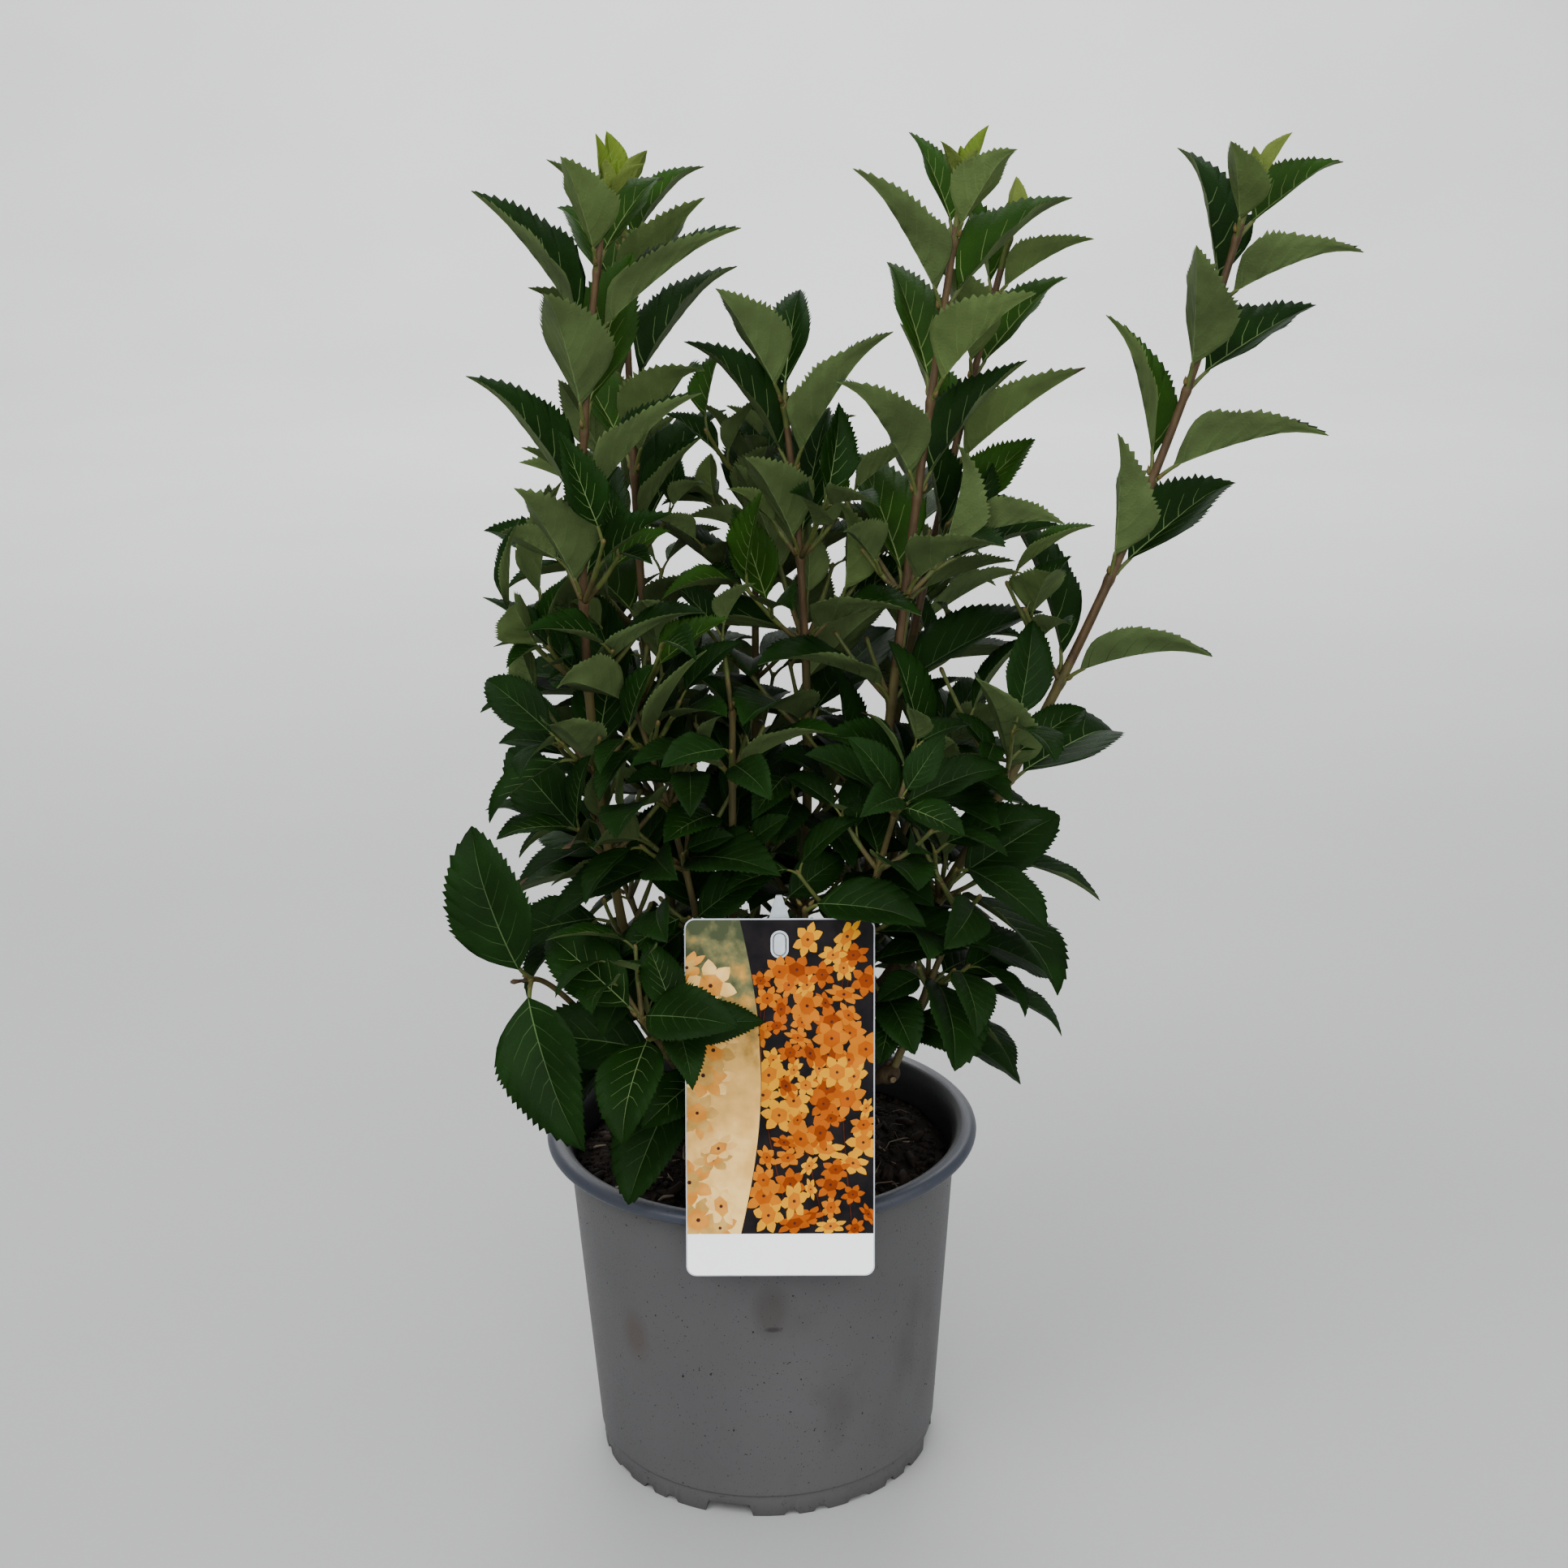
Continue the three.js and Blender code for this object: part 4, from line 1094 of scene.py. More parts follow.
@dataclass(frozen=True)
class Mass:
    """A mass of foliage: one stem from a bough, and what grows on it.

    It has so many pairs of leaves, the lowest of them with side twigs. Its stem starts at
    a share of the bough, and no leaf's tip gets further from it than the reach. The crowd
    is how much closer its pairs stand near the tip, the light how far they turn to it, and
    first is where the first pair stands. No finer twig grows above fine_top.
    """

    zone: Zone
    bough: str
    tip: Point
    pairs: int
    leaf: float
    twigs: int
    seed: int
    bearing: float = 0.0
    bow: Point = (0.0, 0.0, 0.0)
    start: float = 1.0
    reach: float = 0.076
    young: bool = False
    crowd: float = 1.2
    light: float | None = None
    first: float | None = None
    fine_top: float = 0.425


BOUGHS = {
    "left": Bough((-0.052, -0.014, 0.222), (0.0046, 0.0032), 0.008),
    "left_rear": Bough((-0.038, 0.036, 0.226), (0.0044, 0.0031), 0.008),
    "centre": Bough((0.018, 0.008, 0.230), (0.0043, 0.0030), 0.0),
    "front_left": Bough((-0.020, -0.032, 0.224), (0.0040, 0.0029), 0.006),
    "front_right": Bough((0.032, -0.036, 0.216), (0.0039, 0.0028), 0.006),
    "right": Bough((0.046, -0.002, 0.226), (0.0045, 0.0032), 0.006),
    "right_rear": Bough((0.044, 0.038, 0.224), (0.0043, 0.0030), 0.008),
    "far_right": Bough((0.064, -0.016, 0.240), (0.0047, 0.0034), 0.012),
    "low_left": Bough((-0.046, -0.048, 0.188), (0.0038, 0.0028), 0.004),
    "low_right": Bough((0.056, -0.038, 0.192), (0.0038, 0.0028), 0.004),
    "rear": Bough((-0.002, 0.048, 0.222), (0.0041, 0.0029), 0.008),
    "low_rear": Bough((0.020, 0.062, 0.190), (0.0038, 0.0028), 0.004),
}

MASSES = {
    "left_tall": Mass(
        Zone.LEFT, "left", (-0.052, -0.032, 0.551), 10, 0.066, 4, 11, bearing=72,
        bow=(-0.030, -0.008, 0), reach=0.054, young=True, crowd=1.15,
    ),
    "left_rear_tall": Mass(
        Zone.LEFT, "left_rear", (-0.050, 0.046, 0.546), 10, 0.066, 4, 12, bearing=40,
        bow=(-0.008, 0.010, 0), young=True,
    ),
    "centre_tall": Mass(
        Zone.MIDDLE, "centre", (0.015, -0.002, 0.469), 7, 0.064, 4, 13, bearing=65,
        bow=(0.012, 0, 0), crowd=1.15,
    ),
    "right_tall": Mass(
        Zone.RIGHT, "right", (0.085, -0.012, 0.552), 9, 0.066, 4, 14, bearing=30,
        bow=(-0.006, -0.006, 0), young=True, crowd=1.35,
    ),
    "right_rear_tall": Mass(
        Zone.RIGHT, "right_rear", (0.109, 0.042, 0.530), 8, 0.064, 4, 15, bearing=-40,
        bow=(-0.008, 0.006, 0), young=True, crowd=1.25,
    ),
    "far_right_tall": Mass(
        Zone.RIGHT, "far_right", (0.198, -0.006, 0.550), 9, 0.066, 1, 16, bearing=-45,
        bow=(0.030, 0.006, 0), young=True, crowd=1.35, light=0.3, fine_top=0.370,
    ),
    "front_left_high": Mass(
        Zone.FRONT, "front_left", (-0.048, -0.026, 0.350), 5, 0.056, 2, 21, bearing=75,
        bow=(0.008, -0.006, 0),
    ),
    "front_left_mid": Mass(
        Zone.FRONT, "front_left", (-0.008, -0.040, 0.352), 5, 0.054, 2, 22, bearing=80,
        bow=(0, -0.006, 0), start=0.5,
    ),
    "front_right": Mass(
        Zone.FRONT, "front_right", (0.056, -0.064, 0.316), 3, 0.046, 1, 23, bearing=10,
        light=0.1, first=0.4,
    ),
    "front_low": Mass(
        Zone.FRONT, "front_right", (0.020, -0.058, 0.274), 2, 0.054, 0, 24, bearing=85, start=0.5,
    ),
    "low_far_left": Mass(
        Zone.SIDE, "low_left", (-0.092, -0.062, 0.247), 1, 0.076, 0, 26, bearing=112,
        bow=(-0.016, 0.017, 0.024), light=0.0,
    ),
    "low_left": Mass(
        Zone.SIDE, "low_left", (-0.046, -0.084, 0.238), 4, 0.054, 1, 25, bearing=60, start=0.5,
        light=0.1, first=0.3,
    ),
    "low_right": Mass(Zone.SIDE, "low_right", (0.084, -0.038, 0.264), 4, 0.052, 2, 27),
    "left_low": Mass(
        Zone.SIDE, "left", (-0.076, 0.006, 0.318), 4, 0.042, 2, 28, bearing=60, start=0.5, reach=0.042,
    ),
    "centre_low": Mass(Zone.MIDDLE, "centre", (-0.014, 0.012, 0.318), 4, 0.052, 2, 41, bearing=20, start=0.5),
    "right_low": Mass(Zone.SIDE, "right", (0.078, 0.018, 0.316), 4, 0.052, 2, 42, bearing=30, start=0.5),
    "rear_centre": Mass(Zone.MIDDLE, "rear", (0.002, 0.062, 0.420), 7, 0.060, 4, 31),
    "rear_left": Mass(Zone.REAR, "rear", (-0.068, 0.076, 0.344), 5, 0.052, 2, 33, start=0.5),
    "rear_right": Mass(Zone.REAR, "right_rear", (0.072, 0.086, 0.352), 5, 0.054, 2, 34, start=0.5),
    "rear_low": Mass(Zone.REAR, "low_rear", (-0.014, 0.096, 0.306), 4, 0.052, 2, 32),
    "low_rear_left": Mass(Zone.REAR, "rear", (-0.024, 0.092, 0.236), 3, 0.048, 1, 35, start=0.4),
    "low_rear_right": Mass(Zone.REAR, "low_rear", (0.066, 0.080, 0.244), 3, 0.050, 1, 36, start=0.5),
}


@dataclass
class Leaf:
    """One leaf: where it stands, which way it points, and its shape."""

    root: Array
    base: Array
    axis: Array
    up: Array
    side: Array
    out: Array
    length: float
    width: float
    curl: float
    fold: float
    size: float
    height: float = 0.0

    RISE = 0.65

    @classmethod
    def breadth(cls, t: Array) -> Array:
        """Returns: how wide a blade is at t, as a share of its widest."""
        widest = cls.RISE / (1 + cls.RISE)
        return (t / widest) ** cls.RISE * (1 - t) / (1 - widest)

    def spread(self, t: Array, half: Array, lift: Array | float = 0.0) -> Array:
        """Points of the blade, whose midrib curls away and whose halves fold up from it.

        Args:
            t: how far along each point is, from 0 at the base to 1 at the tip.
            half: how far it is from the midrib.
            lift: how far above the blade.

        Returns:
            One row for each point.
        """
        t, half = np.asarray(t, float)[..., None], np.asarray(half, float)[..., None]
        lift = np.broadcast_to(np.asarray(lift, float)[..., None], half.shape)
        normal = unit(self.up + self.axis * 2 * self.curl * t)
        along = self.base + self.axis * self.length * t - self.up * self.length * self.curl * t * t
        raised = np.abs(half) * math.sin(self.fold) + lift
        return along + self.side * half * math.cos(self.fold) + normal * raised


@dataclass
class Shoot:
    """A stem and how its pairs of leaves stand on it."""

    line: Bow
    radii: Pair
    pairs: int
    bearing: float
    leaf: float
    twigs: int
    light: float
    first: float
    tips: Sequence[float]
    crowd: float = 1.2

    def share(self, pair: int) -> float:
        """Returns: where a pair stands, as a share of the stem."""
        if self.pairs == 1:
            return 1.0
        return 1 - (1 - self.first) * (1 - pair / (self.pairs - 1)) ** self.crowd

    def size(self, pair: int) -> float:
        """Returns: how large a pair is, smaller near a tip."""
        left = self.pairs - 1 - pair
        return self.tips[left] if left < len(self.tips) else 1.0

    def radius(self, share: float) -> float:
        """Returns: the stem's radius at a share of its length."""
        return self.radii[0] + (self.radii[1] - self.radii[0]) * share


@dataclass
class Place:
    """Where on a stem a pair stands."""

    centre: Array
    along: Array
    tangent: Array
    radius: float


@dataclass
class Axil:
    """Where a side twig can start."""

    place: Place
    bearing: float
    leaf: float


@dataclass(frozen=True)
class Season:
    """How closely one round of growth fills the free room."""

    blade_room: float = 0.002
    petiole_room: float = 0.0015
    twig_room: float = 0.0015


@dataclass
class Grown:
    """A mass of foliage while it grows, and what has grown on it."""

    name: str
    plan: Mass
    shoot: Shoot
    chance: Chance
    middle: Array
    stems: list[Shoot] = field(default_factory=list)
    leaves: list[Leaf] = field(default_factory=list)
    axils: list[Axil] = field(default_factory=list)
    season: Season = Season()

    def holds(self, tip: Array) -> bool:
        """Returns: whether a leaf's tip lies within the reach of the stem."""
        return bool((np.linalg.norm(self.middle - tip, axis=1) < self.plan.reach).any())


class Room:
    """What is already there: clusters of points, each with the room that it takes."""

    # How many clusters there can be, and the share of its own leaves' room that a mass minds.
    LIMIT = 6000
    OWN_SHARE = 0.4

    def __init__(self, pot: Pot, soil: Soil) -> None:
        """Args:
            pot: the pot that nothing grows into.
            soil: the soil that nothing grows into.
        """
        self.pot, self.soil = pot, soil
        self.points: list[Array] = []
        self.owners: list[str] = []
        self.stems: list[bool] = []
        self.centres = np.zeros((self.LIMIT, 3))
        self.reaches = np.zeros(self.LIMIT)
        self.rooms = np.zeros(self.LIMIT)

    @staticmethod
    def ball(points: Array) -> tuple[Array, float]:
        """Returns: the middle and the radius of a ball round these points."""
        middle = (points.min(0) + points.max(0)) / 2
        return middle, float(np.linalg.norm(points - middle, axis=1).max())

    def claim(self, points: Array, room: float, owner: str, stem: bool = False) -> None:
        """Claims the room round some points.

        Args:
            points: one row for each point.
            room: how far round each point it reaches.
            owner: the name of what claims it.
            stem: whether it is a stem, which the owner's own leaves keep clear of too.
        """
        count = len(self.points)
        self.centres[count], self.reaches[count] = self.ball(points)
        self.rooms[count] = room
        self.points.append(points)
        self.owners.append(owner)
        self.stems.append(stem)

    def over_pot(self, points: Array) -> bool:
        """Returns: whether all points are above the soil, the rim and the ground."""
        reach = np.hypot(points[:, 0], points[:, 1])
        inside, rim = self.pot.wall_top[0] - 0.005, self.pot.rim + 0.003
        outside = np.where(reach < rim, self.pot.height + 0.002, 0.004)
        floor = np.where(reach < inside, self.soil.top + 0.002, outside)
        return bool((points[:, 2] > floor).all())

    def clear(self, points: Array, room: float, owner: str, own: bool = True) -> bool:
        """Tells whether some points are clear of all that is there.

        Args:
            points: one row for each point.
            room: the free room that each needs.
            owner: the name of what asks.
            own: whether what the owner claimed itself counts too.

        Returns:
            True if they are.
        """
        if not self.over_pot(points):
            return False
        middle, reach = self.ball(points)
        count = len(self.points)
        away = np.linalg.norm(self.centres[:count] - middle, axis=1)
        for near in np.nonzero(away <= reach + self.reaches[:count] + room + self.rooms[:count])[0]:
            mine = self.owners[near] == owner
            if mine and not own:
                continue
            apart = room + self.rooms[near] * (self.OWN_SHARE if mine and not self.stems[near] else 1.0)
            others = self.points[near]
            others = others[np.linalg.norm(others - middle, axis=1) <= reach + apart]
            if len(others) and (((points[:, None] - others[None]) ** 2).sum(-1) <= apart * apart).any():
                return False
        return True


class Habit:
    """The rule that the whole plant grows by."""

    YOUNG_TIP = (0.42, 0.74, 0.95)
    RESTED_TIP = (0.86,)
    TRIES = (
        (0, 0, 1), (14, 0, 1), (-14, 0, 1), (0, 12, 1), (0, -10, 1), (28, 6, 0.95), (-28, 6, 0.95),
        (14, 20, 0.85), (-14, 20, 0.85), (0, -18, 0.8), (40, 10, 0.8), (-40, 10, 0.8),
    )
    TWIG_TURNS = (0, 25, -25, 50, -50, 75, -75)
    CROWN_HEAD = 0.019
    # Below LOW a leaf stands in shade and is broad; above HIGH it stands in full light and is slim.
    LOW, HIGH = 0.240, 0.400
    SLIM, BROAD = 0.25, 0.30
    SUNK, PETIOLE = 0.0009, 0.16
    # A leaf's spread, curl and fold: in full light, what shade adds, and what chance adds.
    SPREAD, CURL, FOLD = (38, 22, 6), (0.12, 0.14, 0.05), (28, -12, 5)
    LENGTH_CHANCE, TURN_CHANCE, TWIG_SPREAD = 0.08, 9, 14
    TINY, TINY_SPREAD = 0.6, 0.5
    # A side twig: its usual length and what chance adds, how it leaves, and how it bows.
    TWIG_REACH, TWIG_OUT, TWIG_UP, TWIG_BOW = (0.62, 0.2), 0.7, 0.75, (0.06, 0.03)
    TWIG_RADII, TWIG_LEAF = (0.0014, 0.0009), 0.8
    TALL = 0.150
    # The radii of a stem, how far it turns to the light, and where its first pair stands.
    TALL_STEM, LOW_STEM = ((0.0026, 0.0015), 0.0, 0.07), ((0.002, 0.0012), 0.8, 0.25)
    BARK_ROOM = 0.0006
    FINE_SEED, FINE_TURN, FINE_LEAVES = 500, 45, (0.85, 0.62)
    FINE = Season(blade_room=0.0011, petiole_room=0.0009, twig_room=0.0011)
    SPACING, LABEL_SPACING, CARD_ROOM = 0.003, 0.004, 0.0022
    FEELERS = (16, 9)
    FIRST_ROW = 0.25

    def __init__(self, pot: Pot, soil: Soil, label: Label) -> None:
        """Args:
            pot: the pot.
            soil: the soil that the crown stands on.
            label: the label that the leaves keep clear of.
        """
        self.label = label
        self.room = Room(pot, soil)
        head = np.array([0, 0, soil.top + self.CROWN_HEAD])
        self.boughs: dict[str, Bow] = {}
        for name, bough in BOUGHS.items():
            out = unit(np.array([*bough.tip[:2], 0.0])) * bough.bow
            self.boughs[name] = Bow(head, bough.tip, out)
        rows = np.arange(2, self.FEELERS[0] + 1) / self.FEELERS[0]
        across = np.linspace(-1, 1, self.FEELERS[1])
        self.rows, self.across = np.repeat(rows, len(across)), np.tile(across, len(rows))

    # where things stand

    @staticmethod
    def light_at(point: Array) -> Array:
        """Returns: where the light comes from: from above, and from outside the crown."""
        return unit(np.array([point[0], point[1], 0.0])) + UP

    @staticmethod
    def outward(tangent: Array, bearing: float) -> Array:
        """Returns: the way out of a stem at a bearing from +X, square to the stem."""
        across = unit(np.array([1.0, 0, 0]) - tangent * tangent[0])
        away = np.cross(tangent, across)
        return across * math.cos(math.radians(bearing)) + away * math.sin(math.radians(bearing))

    @classmethod
    def leaf_at(cls, place: Place, plan: dict[str, float], size: float) -> Leaf:
        """Stands a leaf on a stem.

        Args:
            place: where on the stem.
            plan: its length, width, bearing, spread, curl and fold.
            size: how large its pair is beside the others.

        Returns:
            The leaf.
        """
        out = cls.outward(place.tangent, plan["bearing"])

        def lean(degrees: float) -> Array:
            """Returns: the way that leans out by this much."""
            return place.tangent * math.cos(math.radians(degrees)) + out * math.sin(math.radians(degrees))

        axis = lean(plan["spread"])
        up = -lean(plan["spread"] + 90)
        petiole = lean(0.45 * plan["spread"]) * plan["length"] * cls.PETIOLE
        base = place.centre + out * 0.8 * place.radius + petiole
        return Leaf(
            root=place.centre - place.along * cls.SUNK, base=base, axis=axis, up=up, side=np.cross(axis, up),
            out=out, length=plan["length"], width=plan["width"], curl=plan["curl"],
            fold=math.radians(plan["fold"]), size=size, height=float(place.centre[2]),
        )

    def blade_feelers(self, leaf: Leaf) -> Array:
        """Returns: points all over a blade."""
        return leaf.spread(self.rows, leaf.length * leaf.width * Leaf.breadth(self.rows) * self.across)

    def petiole_feelers(self, leaf: Leaf) -> Array:
        """Returns: points between a leaf's root and the first corners of its blade."""
        t, q = np.full(3, self.FIRST_ROW), np.array([-1.0, 0.0, 1.0])
        corners = leaf.spread(t, leaf.length * leaf.width * Leaf.breadth(t) * q)
        shares = np.array([0.2, 0.4, 0.6, 0.8])[:, None, None]
        between = leaf.root + (corners[None] - leaf.root) * shares
        return np.concatenate([[leaf.root], between.reshape(-1, 3)])

    # how they grow

    def grow_leaf(self, place: Place, plan: dict[str, float], size: float, mass: Grown) -> None:
        """Grows a leaf where there is room for it, and skips it where there is none."""
        season = mass.season
        for turn, tilt, share in self.TRIES:
            bearing, spread, length = plan["bearing"] + turn, plan["spread"] + tilt, plan["length"] * share
            tried = {**plan, "bearing": bearing, "spread": spread, "length": length}
            leaf = self.leaf_at(place, tried, size)
            feelers, petiole = self.blade_feelers(leaf), self.petiole_feelers(leaf)
            if (
                mass.holds(feelers[-1])
                and self.room.clear(feelers, season.blade_room, mass.name)
                and self.room.clear(petiole, season.petiole_room, mass.name, own=False)
            ):
                self.room.claim(feelers, season.blade_room, mass.name)
                self.room.claim(petiole, season.petiole_room, mass.name)
                mass.leaves.append(leaf)
                return

    def grow_shoot(self, shoot: Shoot, mass: Grown) -> list[Axil]:
        """Grows a shoot with its pairs of leaves.

        Args:
            shoot: the shoot.
            mass: the mass that it belongs to.

        Returns:
            The axils that could bear a twig, from the lowest pair up.
        """
        draw = mass.chance.draw
        mass.stems.append(shoot)
        axils = []
        for pair in range(shoot.pairs):
            share, size = shoot.share(pair), shoot.size(pair)
            centre, along = shoot.line.point(share), shoot.line.tangent(share)
            tangent = unit(along + self.light_at(centre) * shoot.light)
            place = Place(centre, along, tangent, shoot.radius(share))
            shade_here = min(1.0, max(0.0, (self.HIGH - centre[2]) / (self.HIGH - self.LOW)))
            rules = (self.SPREAD, self.CURL, self.FOLD)
            spread, curl, fold = (rule[0] + rule[1] * shade_here for rule in rules)
            spread = spread * (self.TINY_SPREAD if size < self.TINY else 1)
            bears = pair < shoot.twigs
            for half in (0, 180):
                plan = {
                    "length": shoot.leaf * size * (1 + self.LENGTH_CHANCE * draw()),
                    "width": self.SLIM + (self.BROAD - self.SLIM) * shade_here,
                    "bearing": shoot.bearing + 90 * pair + half + self.TURN_CHANCE * draw(),
                    "spread": spread + self.TWIG_SPREAD * bears + self.SPREAD[2] * draw(),
                    "curl": curl + self.CURL[2] * draw(),
                    "fold": fold + self.FOLD[2] * draw(),
                }
                axils.append(Axil(place, plan["bearing"], shoot.leaf))
                if bears:
                    mass.axils.append(axils[-1])
                self.grow_leaf(place, plan, size, mass)
        return axils

    def grow_twig(self, axil: Axil, mass: Grown) -> None:
        """Grows a side twig from an axil, where there is room for its stem.

        Args:
            axil: where it starts.
            mass: the mass that it belongs to.
        """
        usual, chance = self.TWIG_REACH
        reach = axil.leaf * (usual + chance * mass.chance.draw())
        centre = axil.place.centre
        for turn in self.TWIG_TURNS:
            out = self.outward(axil.place.tangent, axil.bearing + turn)
            tip = centre + out * self.TWIG_OUT * reach + UP * self.TWIG_UP * reach
            line = Bow(centre, tip, out * self.TWIG_BOW[0] * reach - UP * self.TWIG_BOW[1] * reach)
            near, far = line.spaced(self.SPACING), line.spaced(self.SPACING, 0.25)
            room, name = mass.season.twig_room, mass.name
            if self.room.clear(far, room, name) and self.room.clear(near, room, name, own=False):
                self.room.claim(near, room, name, stem=True)
                twig = Shoot(
                    line=line, radii=self.TWIG_RADII, pairs=2, bearing=axil.bearing + 90,
                    leaf=self.TWIG_LEAF * axil.leaf, twigs=0, light=0.5, first=0.55, tips=self.RESTED_TIP,
                )
                self.grow_shoot(twig, mass)
                return

    def main_shoot(self, plan: Mass) -> Shoot:
        """Returns: the stem of a mass, from its bough to its tip."""
        foot = self.boughs[plan.bough].point(plan.start)
        tall = np.linalg.norm(foot - plan.tip) > self.TALL
        radii, light, first = self.TALL_STEM if tall else self.LOW_STEM
        return Shoot(
            line=Bow(foot, plan.tip, plan.bow), radii=radii, pairs=plan.pairs, bearing=plan.bearing,
            leaf=plan.leaf, twigs=plan.twigs, crowd=plan.crowd,
            light=light if plan.light is None else plan.light,
            first=first if plan.first is None else plan.first,
            tips=self.YOUNG_TIP if plan.young else self.RESTED_TIP,
        )

    def claim_label(self) -> None:
        """Claims the room of the card and its stick."""
        label, spacing = self.label, self.LABEL_SPACING
        across = np.arange(-label.width / 2, label.width / 2, spacing)
        for height in np.arange(0, label.height + 1e-9, spacing):
            row = [label.stand @ Vector((x, height, 0)) for x in across]
            self.room.claim(np.array(row), self.CARD_ROOM, "label", stem=True)
        at = label.stick_at()
        heights = np.arange(self.room.soil.top, label.stick_head, spacing)
        stick = np.stack([np.full(len(heights), at.x), np.full(len(heights), at.y), heights], -1)
        self.room.claim(stick, label.stick_width / 2 + label.stick_barb, "label", stem=True)

    def grow(self) -> list[Grown]:
        """Grows the plant: all stems, then all their leaves, the twigs, and a finer round.

        Returns:
            The masses of foliage.
        """
        for name, bough in BOUGHS.items():
            self.room.claim(self.boughs[name].spaced(self.SPACING), bough.radii[0], name, stem=True)
        self.claim_label()
        masses = []
        for name, plan in MASSES.items():
            shoot = self.main_shoot(plan)
            masses.append(Grown(name, plan, shoot, Chance(plan.seed), shoot.line.spaced(0.010)))
        for mass in masses:
            stem = mass.shoot.line.spaced(self.SPACING)
            self.room.claim(stem, mass.shoot.radii[0] + self.BARK_ROOM, mass.name, stem=True)
        fine = [self.grow_shoot(mass.shoot, mass) for mass in masses]
        for mass in masses:
            for axil in list(mass.axils):
                self.grow_twig(axil, mass)
        for mass, axils in zip(masses, fine):
            self.grow_fine(mass, axils)
        return masses

    def grow_fine(self, mass: Grown, axils: Sequence[Axil]) -> None:
        """Carries a mass to finer twigs, low in the crown where the light has thinned it.

        Args:
            mass: the mass.
            axils: where its stem could bear a twig.
        """
        if not mass.plan.twigs:
            return
        mass.season = self.FINE
        mass.chance = Chance(mass.plan.seed + self.FINE_SEED)
        for smaller in self.FINE_LEAVES:
            for axil in axils:
                if axil.place.centre[2] < mass.plan.fine_top:
                    bearing = axil.bearing + self.FINE_TURN
                    self.grow_twig(Axil(axil.place, bearing, smaller * axil.leaf), mass)


# ---- bark, stems, leaves


class Wood(IntEnum):
    """The slots of the woody pieces."""

    BARK, OLIVE, RUSSET, GREEN, BUD, CUT = range(6)


SMOOTH_BARK = Finish(
    "olive_bark", shade(88, 82, 48), shade(114, 104, 60), patches=220.0, rough=(0.55, 0.7),
    specular=0.22, grain=1600.0, depth=0.0002, stretch=(1, 1, 0.25),
)
WOOD_FINISHES = (
    Finish("old_bark", shade(64, 52, 38), shade(100, 84, 60), patches=160.0, rough=(0.78, 0.92),
           specular=0.15, grain=1400.0, depth=0.0006, stretch=(1, 1, 0.3)),
    SMOOTH_BARK,
    replace(SMOOTH_BARK, name="russet_bark", dark=shade(84, 66, 44), light=shade(112, 90, 60),
            patches=260.0, rough=(0.5, 0.65)),
    replace(SMOOTH_BARK, name="green_bark", dark=shade(86, 100, 48), light=shade(110, 120, 60),
            patches=260.0, rough=(0.45, 0.6), depth=0.0001),
    Finish("bud_scale", shade(96, 84, 48), shade(132, 116, 66), patches=600.0, rough=(0.5, 0.65),
           specular=0.2),
    Finish("cut_wood", shade(118, 100, 72), shade(148, 128, 94), patches=900.0, rough=(0.75, 0.9),
           specular=0.25, grain=2600.0, depth=0.0003),
)


@dataclass(frozen=True)
class Spike:
    """A short straight piece of wood, and how thick it is at shares of its length."""

    shares: tuple[float, ...]
    radii: tuple[float, ...]
    sides: int

    def add(
        self, stock: MeshStock, foot: Array, way: Array, length: float, width: float,
        slots: Sequence[int] | int,
    ) -> None:
        """Adds one to the stock, from a foot this way, this long and this wide."""
        centres = foot + way * length * np.array(self.shares)[:, None]
        stock.add_rings(rings_round(centres, width * np.array(self.radii), self.sides), slots)


STUB = Spike((0.0, 0.35, 0.7, 0.93, 1.0, 1.0001), (0.75, 0.62, 0.56, 0.56, 0.50, 0.36), 10)
BUD = Spike((0.0, 0.2, 0.5, 0.8, 1.0), (0.6, 1.0, 0.95, 0.5, 0.08), 6)
DEAD_TWIG = Spike((0.0, 0.3, 0.6, 0.85, 1.0), (0.9, 0.75, 0.8, 1.15, 0.5), 7)


